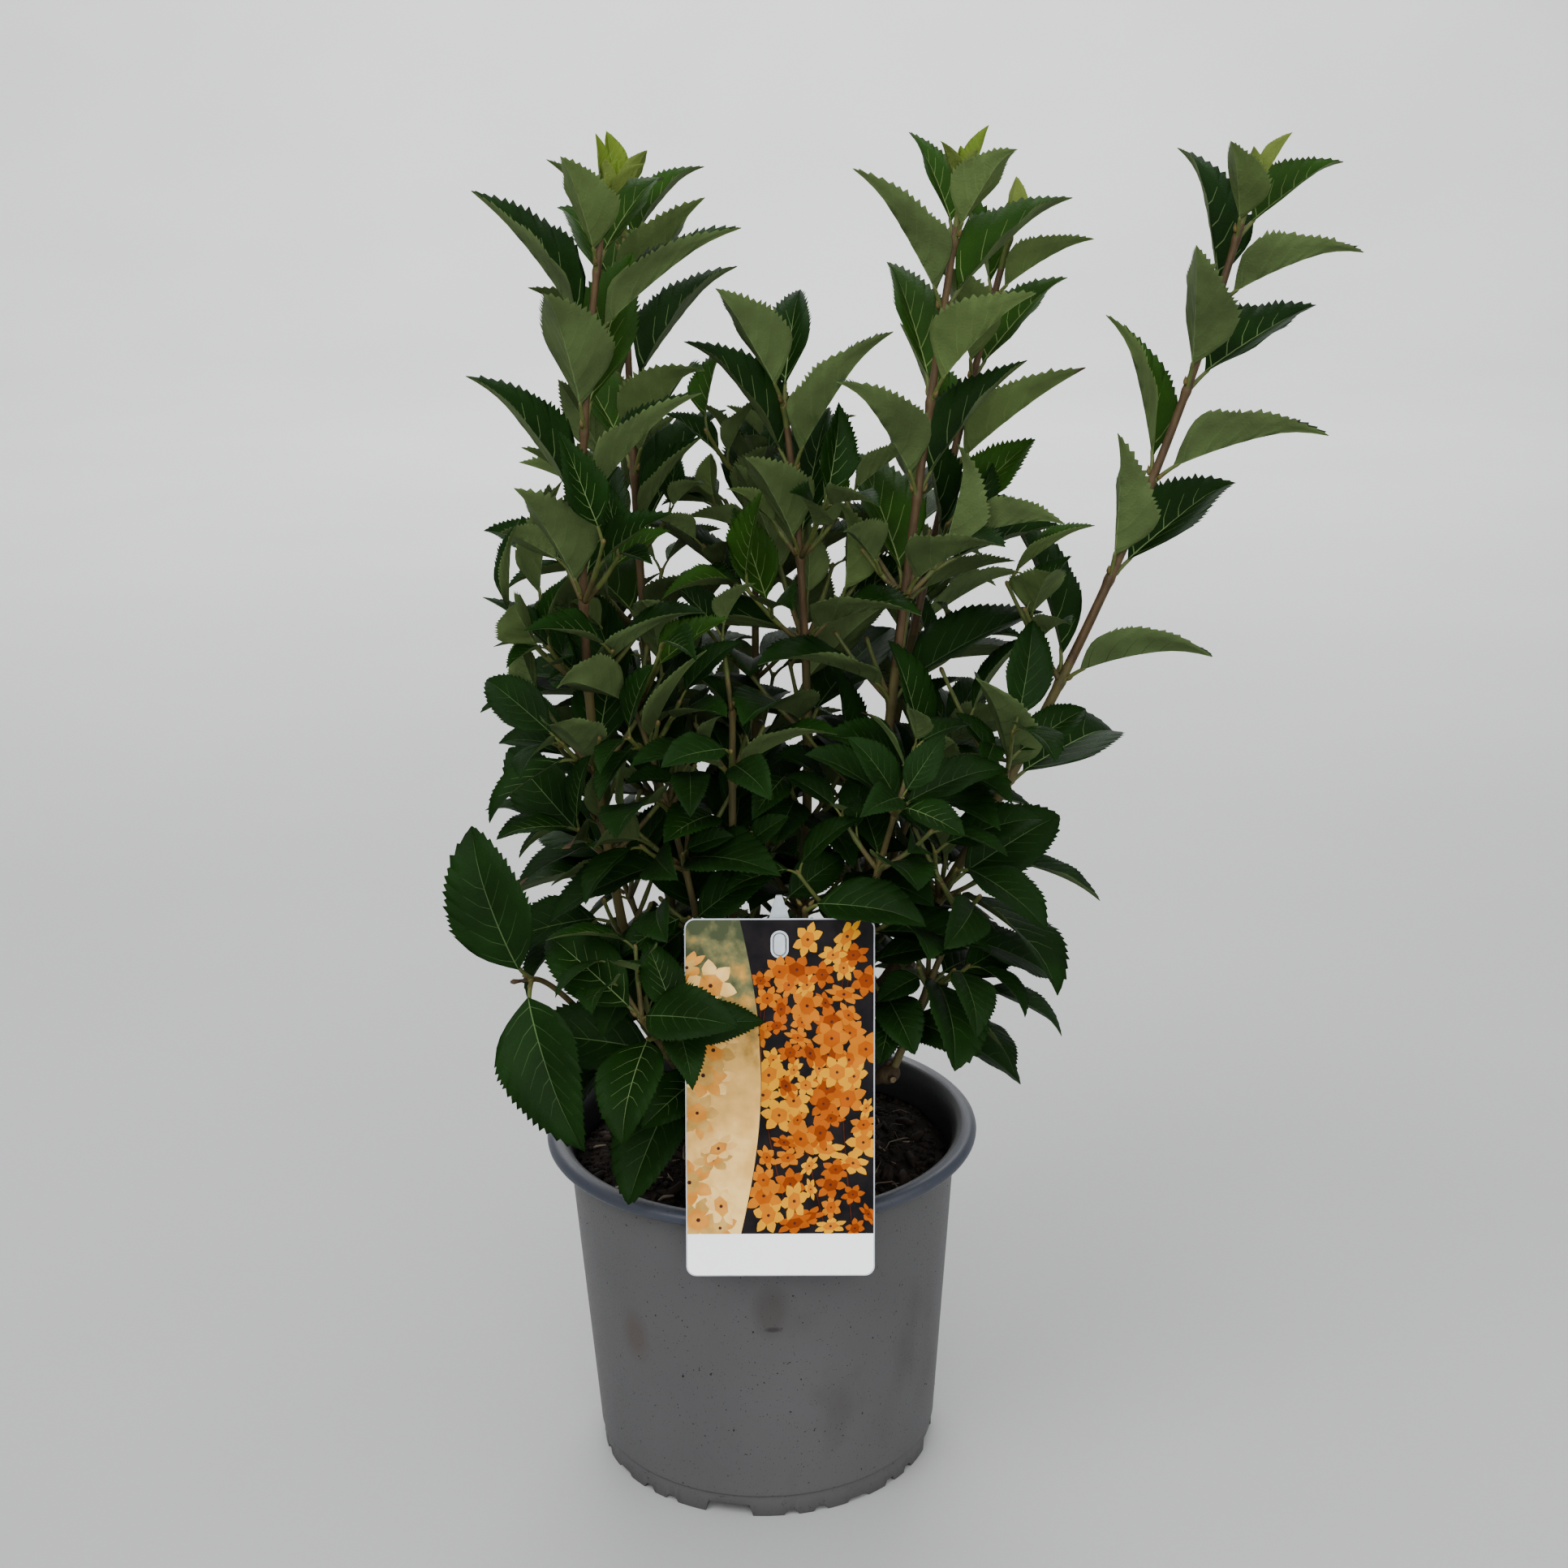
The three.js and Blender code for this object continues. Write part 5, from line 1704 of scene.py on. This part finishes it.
@dataclass
class Bark:
    """The root crown and the boughs, with ridged bark and pruned knuckles."""

    soil: Soil
    boughs: dict[str, Bow]
    flare: float = 0.021
    waist: float = 0.012
    head: float = 0.016
    height: float = 0.027
    sides: int = 20
    crown_sides: int = 48
    step: float = 0.0018
    ridge: float = 0.10
    joints: tuple[float, ...] = (0.3, 0.55, 0.76)

    def crown(self, stock: MeshStock) -> None:
        """Adds the crown: a root flare with lobes, a waist and a knotty head."""
        flare, waist, head = self.flare, self.waist, self.head
        profile = [
            (flare, 0.0003), (flare * 0.97, 0.0012), (flare * 0.90, 0.0026), (waist * 1.35, 0.0052),
            (waist * 1.13, 0.0084), (waist, 0.0128), (head * 0.93, 0.0160), (head, 0.0192),
            (head * 0.95, 0.0224), (head * 0.78, 0.0252), (head * 0.45, 0.0268), (0.0006, self.height),
        ]
        radii, heights = np.array(profile).T[:, :, None]
        angles = round_angles(self.crown_sides)
        lobes = 0.5 + 0.5 * np.cos(5 * angles + 0.6) * np.cos(2 * angles + 1.1)
        foot = np.clip(1 - heights / 0.010, 0, 1)
        rings = turned(radii * (1 - 0.20 * foot * (1 - lobes)), self.soil.top + heights, angles)
        bumps = 1 + 0.05 * ripple(rings, 0.006, 71) + 0.04 * ripple(rings, 0.0022, 72)
        rings[..., :2] *= bumps[..., None]
        stock.add_rings(rings, Wood.BARK)

    def bough(self, stock: MeshStock, name: str, seed: int) -> None:
        """Adds a bough: ridged bark, a swollen knuckle, and the stubs of what was pruned.

        Args:
            stock: where its faces go.
            name: which bough.
            seed: what its bark varies by.
        """
        line, (foot, tip) = self.boughs[name], BOUGHS[name].radii
        shares = np.linspace(0, 1, math.ceil(line.length() / self.step) + 1)
        taper = foot + (tip - foot) * shares
        swelling = 0.5 * tip * np.exp(-(((shares - 0.97) / 0.05) ** 2))
        joints = sum(0.12 * tip * np.exp(-(((shares - at) / 0.022) ** 2)) for at in self.joints)
        centres = line.point(shares)
        rings = rings_round(centres, taper + swelling + joints, self.sides)
        coarse, fine = ripple(rings * [1, 1, 0.35], 0.0030, seed), ripple(rings, 0.006, seed + 1)
        uneven = self.ridge * (0.5 * coarse + 0.4 * fine)
        rings = centres[:, None] + (rings - centres[:, None]) * (1 + uneven[..., None])
        rise = line.tangent(1.0) * tip * 1.35
        caps = rounded_end(rings[-1], line.point(1.0), rise, np.radians([22, 44, 64, 82]))
        stock.add_rings(np.concatenate([rings, caps]), Wood.BARK)
        self.stubs(stock, line, tip, seed)

    def stubs(self, stock: MeshStock, line: Bow, tip: float, seed: int) -> None:
        """Adds short pruned stubs round a knuckle, each with a pale cut face.

        Args:
            stock: where their faces go.
            line: the bough's line.
            tip: the bough's radius there.
            seed: what they vary by.
        """
        draw, along = Chance(seed).draw, line.tangent(0.95)
        for number in range(3):
            way = unit(Habit.outward(along, 120 * number + 60 * draw()) + 0.9 * along)
            length = tip * (2.3 + 0.5 * draw())
            STUB.add(stock, line.point(0.90 + 0.035 * number), way, length, tip, [Wood.BARK] * 4 + [Wood.CUT])

    def build(self) -> Piece:
        """Returns: the crown and all boughs as one piece, dressed."""
        stock = MeshStock()
        self.crown(stock)
        for number, name in enumerate(self.boughs):
            self.bough(stock, name, 80 + 3 * number)
        nodes = ["root_crown"] + [f"bough_{name}" for name in self.boughs]
        return settle(stock.build("crown_and_boughs", *WOOD_FINISHES), nodes)


@dataclass
class Stems:
    """The stems of a zone: four faint ridges, swollen joints, and buds in the axils."""

    zone: Zone
    masses: list[Grown]
    step: float = 0.0042
    slim: float = 0.88
    joint: float = 0.30
    joint_length: float = 0.0024
    joint_rows: tuple[float, ...] = (-1.4, -0.6, 0.0, 0.6, 1.4)
    ridge: float = 0.07
    old_below: float = 0.365

    def stem(self, stock: MeshStock, shoot: Shoot, main: bool) -> None:
        """Adds a stem.

        Args:
            stock: where its faces go.
            shoot: the shoot.
            main: whether it is the mass's own stem and not a side twig.
        """
        long = shoot.line.length()
        sides = 10 if main else 7
        pairs = [shoot.share(pair) for pair in range(shoot.pairs)]
        shares = np.linspace(0, 1, max(6, math.ceil(long / self.step)) + 1)
        if main:
            near = [share + row * self.joint_length / long for share in pairs for row in self.joint_rows]
            shares = np.unique(np.clip(np.concatenate([shares, near]), 0, 1).round(5))
        swelling = sum(np.exp(-(((shares - share) * long / self.joint_length) ** 2)) for share in pairs)
        radii = self.slim * shoot.radius(shares) + self.joint * shoot.radii[1] * np.clip(swelling, 0, 1.1)
        ridges = 1 + self.ridge * np.cos(4 * round_angles(sides) + 0.4) * main
        rings = rings_round(shoot.line.point(shares), radii[:, None] * ridges, sides)
        rise = shoot.line.tangent(1.0) * radii[-1] * 1.4
        tip = rounded_end(rings[-1], shoot.line.point(1.0), rise, (0.6, 1.1, 1.45))
        slots = [self.tone(shoot, share, main) for share in shares[1:]] + [Wood.BUD] * 3
        stock.add_rings(np.concatenate([rings, tip]), slots)

    def tone(self, shoot: Shoot, share: float, main: bool) -> Wood:
        """Returns: the bark's colour at a share of a shoot."""
        if not main:
            return Wood.OLIVE if share < 0.5 else Wood.GREEN
        if shoot.line.point(share)[2] < self.old_below:
            return Wood.OLIVE
        return Wood.RUSSET if share < 0.97 else Wood.GREEN

    def buds(self, stock: MeshStock, shoot: Shoot) -> None:
        """Adds a pointed bud in each axil of a main stem."""
        for pair in range(shoot.pairs):
            share = shoot.share(pair)
            centre, along = shoot.line.point(share), shoot.line.tangent(share)
            for half in (0, 180):
                out = Habit.outward(along, shoot.bearing + 90 * pair + half)
                foot = centre + out * (shoot.radius(share) + 0.0004) + along * 0.0022
                BUD.add(stock, foot, unit(along + 0.55 * out), 0.0042, 0.00095, Wood.BUD)

    def dead_stub(self, stock: MeshStock, shoot: Shoot) -> None:
        """Adds a short dead twig beside the tip of a shoot that bears one pair only."""
        tip, along = shoot.line.point(1.0), shoot.line.tangent(1.0)
        way = unit(along * 0.5 + Habit.outward(along, shoot.bearing + 90) * 0.9 + UP * 0.3)
        DEAD_TWIG.add(stock, tip, way, 0.0085, 0.0010, Wood.BARK)

    def build(self) -> Piece:
        """Returns: the zone's stems as one piece, dressed."""
        stock = MeshStock()
        for mass in self.masses:
            for shoot in mass.stems:
                self.stem(stock, shoot, shoot is mass.shoot)
            self.buds(stock, mass.shoot)
            if mass.shoot.pairs == 1:
                self.dead_stub(stock, mass.shoot)
        piece = stock.build(f"stems_{self.zone.value}", *WOOD_FINISHES)
        return settle(piece, [f"foliage_{mass.name}" for mass in self.masses])


class Tone(IntEnum):
    """How dark a leaf is; the tone by height is partly the leaf's age and partly painted light."""

    DEEP, FULL, FRESH, YOUNG = range(4)


class LeafSlot(IntEnum):
    """The first slot of each part of a leaf; its tone is added to it."""

    TOP = 0
    UNDER = 4
    VEIN = 8
    RIB = 12
    STALK = 16
    BROWN = 17


# Each part's colour in the four tones. By height these are partly the leaves' age and partly painted light:
# the low leaves' undersides (DEEP) are painted lighter than those higher up to lift the shade inside the
# crown, and the lighter fresh tone, given only to upper leaves, is partly younger growth and partly painted
# light where the light is fuller.
LEAF_COLOURS = {
    LeafSlot.TOP: ((23, 50, 14), (21, 50, 10), (42, 76, 18), (106, 130, 44)),
    LeafSlot.UNDER: ((106, 128, 78), (100, 120, 72), (106, 128, 74), (126, 146, 70)),
    LeafSlot.VEIN: ((62, 88, 48), (106, 132, 78), (116, 140, 78), (134, 154, 74)),
    LeafSlot.RIB: ((88, 114, 70), (126, 150, 96), (134, 156, 96), (150, 168, 90)),
}
GLOSSY = (LeafSlot.TOP, LeafSlot.VEIN)
LEAF_FINISHES = (
    *(
        Finish(
            f"leaf_{part.name.lower()}_{tone.name.lower()}",
            shade(*(c * 0.89 for c in colour)), shade(*(c * 1.1 for c in colour)), patches=42.0,
            rough=(0.46, 0.60) if part in GLOSSY else (0.62, 0.74),
            specular=0.04, grain=1100.0, depth=0.00022,
        )
        for part, colours in LEAF_COLOURS.items() for tone, colour in zip(Tone, colours)
    ),
    Finish("leaf_stalk", shade(92, 106, 52), shade(114, 124, 64), rough=(0.5, 0.62), specular=0.2),
    Finish("leaf_scorch", shade(60, 42, 28), shade(84, 60, 38), rough=(0.7, 0.85), specular=0.25),
)


@dataclass
class Blade:
    """The pattern of one leaf blade: rows that follow its side veins, and a toothed edge.

    A row is a closed ring of points, across the upper face and back across the lower. The
    narrow strip between the two rows of a vein is the vein. Between the rows of a tooth
    the rim comes to a point.
    """

    blunt: float = 2.4
    fullness: float = 1.0
    veins: int = 5
    first_vein: float = 0.07
    vein_every: float = 0.135
    stagger: float = 0.022
    tooth: float = 0.130
    widest: float = 0.42
    tooth_every: float = 0.043
    vein_width: float = 0.0116
    sweep: float = 0.42
    wedge: float = 1.8
    columns: tuple[float, ...] = (0.0, 0.024, 0.30, 0.66, 1.0)
    base_rows: tuple[float, ...] = (0.004, 0.012, 0.024, 0.038, 0.054)
    toothed: Pair = (0.30, 0.95)

    def __post_init__(self) -> None:
        """Works out the rows, the strips and the faces."""
        rows = [(at, 0.0) for at in self.base_rows]
        strips = ["base"] * len(rows)
        for vein in range(self.veins):
            at = self.first_vein + vein * self.vein_every
            rows += [(at, -0.5), (at, 0.5)]
            strips.append("vein")
            gap = self.vein_every if vein < self.veins - 1 else 0.992 - at
            steps = max(2, round((self.margin_at(at + gap) - self.margin_at(at)) / self.tooth_every))
            rows += [(at + gap * step / steps, 0.0) for step in range(1, steps)]
            strips += ["field"] * steps
        rows.append((0.994, 0.0))
        self.rows, self.strips = np.array(rows), strips
        half = np.array(self.columns)
        self.across = np.concatenate([-half[::-1], half[1:], half[::-1], -half[1:]])
        self.upper = np.arange(len(self.across)) < 2 * len(half) - 1
        self.edge = np.isclose(np.abs(self.across), 1.0)
        self.shape()
        self.teeth = self.faces()

    def margin_at(self, u: Array | float) -> Array | float:
        """Returns: how far along the margin a row ends that starts at u on the midrib."""
        return u + self.sweep * (1 - u) ** 0.75 * (1 - np.exp(-u / 0.07))

    def shape(self) -> None:
        """Works out how far along and across each point is, and how it is lifted."""
        u, side = self.rows[:, :1], self.rows[:, 1:]
        v, sign = np.abs(self.across)[None], np.sign(self.across)[None]
        sweep = self.margin_at(u) - u
        shift = sign * self.stagger * np.sin(math.pi * u) * (1 - np.exp(-v / 0.06))
        width = self.vein_width * np.clip(1 - v, 0.12, 1) * (1 - 0.5 * u)
        margin = np.clip(u + sweep + shift, 0.003, 0.997)
        self.t = np.clip(u + sweep * v**1.3 + shift + side * width, 0.003, 0.997)
        self.half = sign * v * self.outline(margin + side * width)
        ribs = np.exp(-((v / 0.05) ** 2))
        vein = (side != 0) * (1 - v) * (v > 0.02)
        quilt = np.zeros_like(self.t)
        for row, strip in enumerate(self.strips[:-1]):
            if strip == "field" and self.strips[row + 1] == "field":
                quilt[row + 1] = np.sin(math.pi * v[0] ** 0.8)
        face = np.where(self.upper, 1.0, -1.0)[None]
        body = np.where(self.edge, 0.0011, 0.0024 * (1 - 0.5 * v)) * np.minimum(1, (1 - u) / 0.05)
        self.lift = (
            0.0060 * quilt * (1 - u) + face * body - 0.0026 * ribs - 0.0020 * vein
            - (~self.upper)[None] * (0.0090 * ribs * (1 - 0.8 * u) + 0.0026 * vein)
        )

    def outline(self, t: Array) -> Array:
        """Returns: the blade's half width at t, as a share of its widest, pointed at both ends."""
        power = np.where(t < self.widest, self.wedge, 0.9)
        rise = (t / self.widest) ** power * np.exp(power * (1 - t / self.widest))
        ends = (1 - np.clip(t, 0, 1) ** self.blunt) / (1 - self.widest**self.blunt)
        return np.maximum(self.fullness * rise * ends, 0.05 * (1 - t) + 0.004)

    def faces(self) -> Array:
        """Works out the faces.

        Returns:
            One row for each tooth: its row, and the column of its rim.
        """
        ring, count = len(self.across), len(self.rows)
        made: list[tuple[list[int], LeafSlot, int]] = []
        teeth: list[tuple[int, int]] = []
        for row, strip in enumerate(self.strips):
            middle = self.t[row : row + 2, self.edge].mean()
            toothed = strip == "field" and self.toothed[0] < middle < self.toothed[1]
            low, high = row * ring, (row + 1) * ring
            for column in range(ring):
                after = (column + 1) % ring
                face = [low + column, low + after, high + after, high + column]
                rim = self.edge[column] and self.edge[after]
                if toothed and rim:
                    tip = count * ring + len(teeth)
                    teeth.append((row, column))
                    faces = [[face[k], face[(k + 1) % 4], tip] for k in range(4)]
                    kinds = [LeafSlot.TOP] * 4
                    kinds[1 if self.upper[column] else 3] = LeafSlot.UNDER
                else:
                    upper = self.upper[column] and self.upper[after]
                    faces = [face[:3], [face[0], *face[2:]]] if upper else [[*face[:2], face[3]], face[1:]]
                    inner = max(abs(self.across[[column, after]]))
                    kinds = [LeafSlot.TOP if rim else self.part(inner, upper, strip)] * 2
                made += [(corners, kind, row) for corners, kind in zip(faces, kinds)]
        for row, turn in ((0, -1), (count - 1, 1)):
            made.append((list(range(row * ring, (row + 1) * ring))[::turn], LeafSlot.UNDER, row))
        self.loops = np.array([corner for corners, _, _ in made for corner in corners])
        self.counts = np.array([len(corners) for corners, _, _ in made])
        self.parts = np.array([kind for _, kind, _ in made], int)
        self.shares = np.array([row for _, _, row in made]) / count
        return np.array(teeth)

    def part(self, inner: float, upper: bool, strip: str) -> LeafSlot:
        """Returns: what a face belongs to, by how far out it is, its side and its strip."""
        if inner <= self.columns[1] + 1e-6:
            return LeafSlot.RIB
        if strip == "vein" and inner < 0.99:
            return LeafSlot.VEIN
        return LeafSlot.TOP if upper else LeafSlot.UNDER

    def tooth_tips(self, draw: Callable[[], float]) -> Array:
        """Returns: how far along, across and lifted the point of each tooth is, one row each."""
        row, column = self.teeth.T
        chance = np.array([draw() for _ in row])
        near, far = self.t[row, column], self.t[row + 1, column]
        here = near + (far - near) * (1.06 + 0.14 * chance)
        width = np.abs(self.half[row + 1, column])
        fade = np.clip(np.minimum((near - self.toothed[0]) / 0.12 + 0.4, (1 - near) / 0.2), 0.1, 1)
        out = np.sign(self.across[column]) * (width + self.tooth * fade * (1 + 0.25 * chance))
        return np.stack([here, out, 0 * here], -1)


FINE_VEINS = {"fullness": 0.95, "vein_width": 0.0080, "columns": (0.0, 0.017, 0.30, 0.66, 1.0)}
SHOOT_BLADES = (Blade(), Blade(blunt=2.7, stagger=-0.026, veins=4, vein_every=0.15))
LOW_BLADES = (
    Blade(blunt=6.0, stagger=0.018, tooth=0.085, widest=0.45, wedge=1.3, tooth_every=0.044, **FINE_VEINS),
    Blade(blunt=4.0, stagger=-0.022, tooth=0.095, wedge=1.4, veins=6, vein_every=0.118, **FINE_VEINS),
)
TIP_BLADE = Blade(blunt=5.0, fullness=0.92, tooth=0.03, widest=0.48, wedge=1.2)


@dataclass
class Leaves:
    """The leaves of a zone, each a toothed blade with its veins, on a curved stalk."""

    zone: Zone
    masses: list[Grown]
    stalk_sides: int = 6
    stalk: Pair = (0.00105, 0.0007)
    shoot_from: float = 0.36
    fresh_from: float = 0.45
    tuft: Pair = (0.27, 0.17)

    def tone(self, leaf: Leaf, draw: float) -> Tone:
        """Returns: how dark a leaf is, by its size, its height and chance; by height it is partly age and
        partly painted light.
        """
        if leaf.size < 0.6:
            return Tone.YOUNG
        if leaf.size < 0.8 and leaf.height > self.fresh_from:
            return Tone.FRESH
        if leaf.height > self.shoot_from:
            return Tone.FULL if draw > -0.4 else Tone.FRESH
        return Tone.DEEP if draw > -0.5 else Tone.FULL

    def add_blade(self, stock: MeshStock, leaf: Leaf, draw: Callable[[], float]) -> None:
        """Adds the blade of a leaf, a little bent, waved and twisted.

        Args:
            stock: where its faces go.
            leaf: the leaf.
            draw: what it varies by.
        """
        on_shoot = leaf.height > self.shoot_from
        blade = (SHOOT_BLADES if on_shoot else LOW_BLADES)[draw() > 0]
        if leaf.size < 0.5:
            blade, leaf = TIP_BLADE, replace(leaf, curl=-0.10, width=0.31, length=0.86 * leaf.length)
        elif on_shoot:
            leaf = replace(leaf, fold=leaf.fold + math.radians(7))
        bend, twist, wave = 0.035 * draw(), 0.16 * draw(), 0.010 + 0.006 * draw()
        beat, phase, recurve = 2.6 + 0.8 * draw(), 3.0 * draw(), 0.06 + 0.05 * draw()
        tone, scorched = self.tone(leaf, draw()), draw() > 0.93
        body = np.stack([blade.t.ravel(), blade.half.ravel(), blade.lift.ravel()], -1)
        t, half, lift = np.concatenate([body, blade.tooth_tips(draw)]).T
        far = np.clip((t - 0.62) / 0.38, 0, 1)
        lift = lift + wave * np.abs(half) ** 1.5 * np.sin(2 * math.pi * beat * t + phase + np.sign(half))
        lift = lift + twist * half * leaf.width * t - recurve * far**2
        points = leaf.spread(t, leaf.length * leaf.width * half, leaf.length * lift)
        points = points + leaf.side * (leaf.length * bend * t**2)[:, None]
        slots = blade.parts + np.where(blade.parts < LeafSlot.STALK, tone, 0)
        if scorched:
            slots = np.where(blade.shares > 0.86 + 0.05 * draw(), LeafSlot.BROWN, slots)
        stock.add(points, blade.loops, blade.counts, slots)

    def add_stalk(self, stock: MeshStock, leaf: Leaf) -> None:
        """Adds the stalk of a leaf, from inside the stem to under the base of its blade."""
        end = leaf.spread(0.05, 0.0, -0.010 * leaf.length)
        start = leaf.root + leaf.out * 0.0002
        line = Bow(start, end, (leaf.base - (start + end) / 2) * 0.9 - unit(leaf.axis) * 0.0008)
        shares = np.linspace(0, 1, 8)
        thick, thin = self.stalk
        radii = min(1.0, leaf.length / 0.05) * (thick + (thin - thick) * shares)
        radii[-1] *= 0.45
        stock.add_rings(rings_round(line.point(shares), radii, self.stalk_sides), LeafSlot.STALK)

    def add_tuft(self, stock: MeshStock, shoot: Shoot, draw: Callable[[], float]) -> None:
        """Adds the small leaves that are still folded together at a growing tip."""
        along = shoot.line.tangent(1.0)
        place = Place(shoot.line.point(1.0), along, along, shoot.radii[1])
        for pair, share in enumerate(self.tuft):
            for half in (0, 180):
                plan = {
                    "length": shoot.leaf * share, "width": 0.32, "spread": 20.0 - 6 * pair, "curl": -0.12,
                    "bearing": shoot.bearing + 90 * (shoot.pairs + pair) + half, "fold": 34.0,
                }
                self.add_blade(stock, Habit.leaf_at(place, plan, share), draw)

    def build(self) -> Piece:
        """Returns: the zone's leaves as one piece, dressed."""
        stock = MeshStock()
        for mass in self.masses:
            draw = Chance(mass.plan.seed + 900).draw
            for leaf in mass.leaves:
                self.add_blade(stock, leaf, draw)
                self.add_stalk(stock, leaf)
            if mass.plan.young:
                self.add_tuft(stock, mass.shoot, draw)
        piece = stock.build(f"leaves_{self.zone.value}", *LEAF_FINISHES)
        return settle(piece, [f"foliage_{mass.name}" for mass in self.masses])


# ---- the studio


@dataclass
class Studio:
    """A pale seamless floor, soft light from above and both sides, and the camera."""

    eye: Point = (0.01233, -0.95137, 0.61238)
    pitch: float = 17.684
    roll: float = 0.959
    lens: float = 54.06
    sensor: float = 36.0
    clip: Pair = (0.02, 30.0)
    flat: tuple[float, ...] = (0.02, 0.6, 1.4)
    radius: float = 5.0
    bend: float = 1.6
    wall: float = 5.0
    sectors: int = 96
    sky: Colour = (0.98, 0.985, 1.0)
    sky_strength: float = 0.95
    warmth: Colour = (1.0, 0.995, 0.985)

    # Each lamp: its name, where it hangs, what it faces, how wide it is, and its power.
    LAMPS = (
        ("key", (-1.3, -1.5, 2.4), (0, 0, 0.25), 1.6, 30.0),
        ("fill", (1.9, -1.2, 1.6), (0, 0, 0.25), 1.8, 9.0),
        ("front", (0.2, -2.3, 1.1), (0, 0, 0.2), 1.8, 26.0),
        ("back", (0.2, 2.4, 2.6), (0, 0, 0.3), 1.8, 16.0),
        ("wash", (0.0, 2.9, 2.6), (0, 4.4, 0.4), 2.4, 150.0),
    )

    def floor(self) -> None:
        """Makes a round floor that curves up into a wall on all sides."""
        inner = self.radius - self.bend
        curve = [
            (inner + self.bend * math.sin(a), self.bend * (1 - math.cos(a)))
            for a in np.linspace(0, math.pi / 2, 13)
        ]
        profile = [(self.radius, self.wall), *curve[::-1], *((r, 0.0) for r in self.flat[::-1])]
        stock = MeshStock()
        rings = turned(*np.array(profile).T[:, :, None], round_angles(self.sectors))
        stock.add_rings(rings, ends=(-1,), hubs=((0, 0, 0),))
        paper = Finish(
            "studio_floor", shade(205, 206, 207), shade(211, 212, 213), patches=2.0,
            rough=(0.55, 0.7), specular=0.25, grain=400.0, depth=0.00005,
        )
        stock.build("studio_floor", paper)

    def light(self) -> None:
        """Makes the sky and hangs the square soft lamps."""
        world = bpy.data.worlds.new("soft_sky")
        world.use_nodes = True
        sky = world.node_tree.nodes["Background"].inputs
        sky["Color"].default_value = (*self.sky, 1.0)
        sky["Strength"].default_value = self.sky_strength * LAMP_GAIN
        bpy.context.scene.world = world
        for name, place, aim, size, power in self.LAMPS:
            light = bpy.data.lights.new(name, "AREA")
            light.size, light.energy, light.color = size, power * LAMP_GAIN, self.warmth
            turn = (Vector(aim) - Vector(place)).to_track_quat("-Z", "Y").to_matrix().to_4x4()
            in_scene(name, light).matrix_world = Matrix.Translation(place) @ turn

    def camera(self) -> None:
        """Stands the camera in front of the plant, looking a little down."""
        data = bpy.data.cameras.new("camera")
        data.lens, data.sensor_width = self.lens, self.sensor
        data.clip_start, data.clip_end = self.clip
        tilt = Matrix.Rotation(math.radians(90 - self.pitch), 4, "X")
        roll = Matrix.Rotation(math.radians(-self.roll), 4, "Z")
        camera = in_scene("camera", data)
        camera.matrix_world = Matrix.Translation(self.eye) @ tilt @ roll
        bpy.context.scene.camera = camera

    def build(self) -> None:
        """Makes the whole studio."""
        self.floor()
        self.light()
        self.camera()


def main() -> None:
    """Builds the studio, the pot, the soil, the label and the plant, in this order."""
    logging.basicConfig(level=logging.INFO, format="%(name)s: %(message)s")
    Studio().build()
    scatter = Scatter()
    pot = Pot()
    pot.build()
    pot.dirt(scatter)
    soil = Soil(pot)
    soil.build()
    soil.strew(scatter)
    label = Label(soil)
    label.card()
    label.blossoms()
    label.stick()

    habit = Habit(pot, soil, label)
    masses = habit.grow()
    Bark(soil, habit.boughs).build()
    for zone in Zone:
        mine = [mass for mass in masses if mass.plan.zone is zone]
        Stems(zone, mine).build()
        Leaves(zone, mine).build()
    LOG.info("%d leaves on %d stems", sum(len(m.leaves) for m in masses), sum(len(m.stems) for m in masses))

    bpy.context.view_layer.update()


if __name__ == "__main__":
    main()
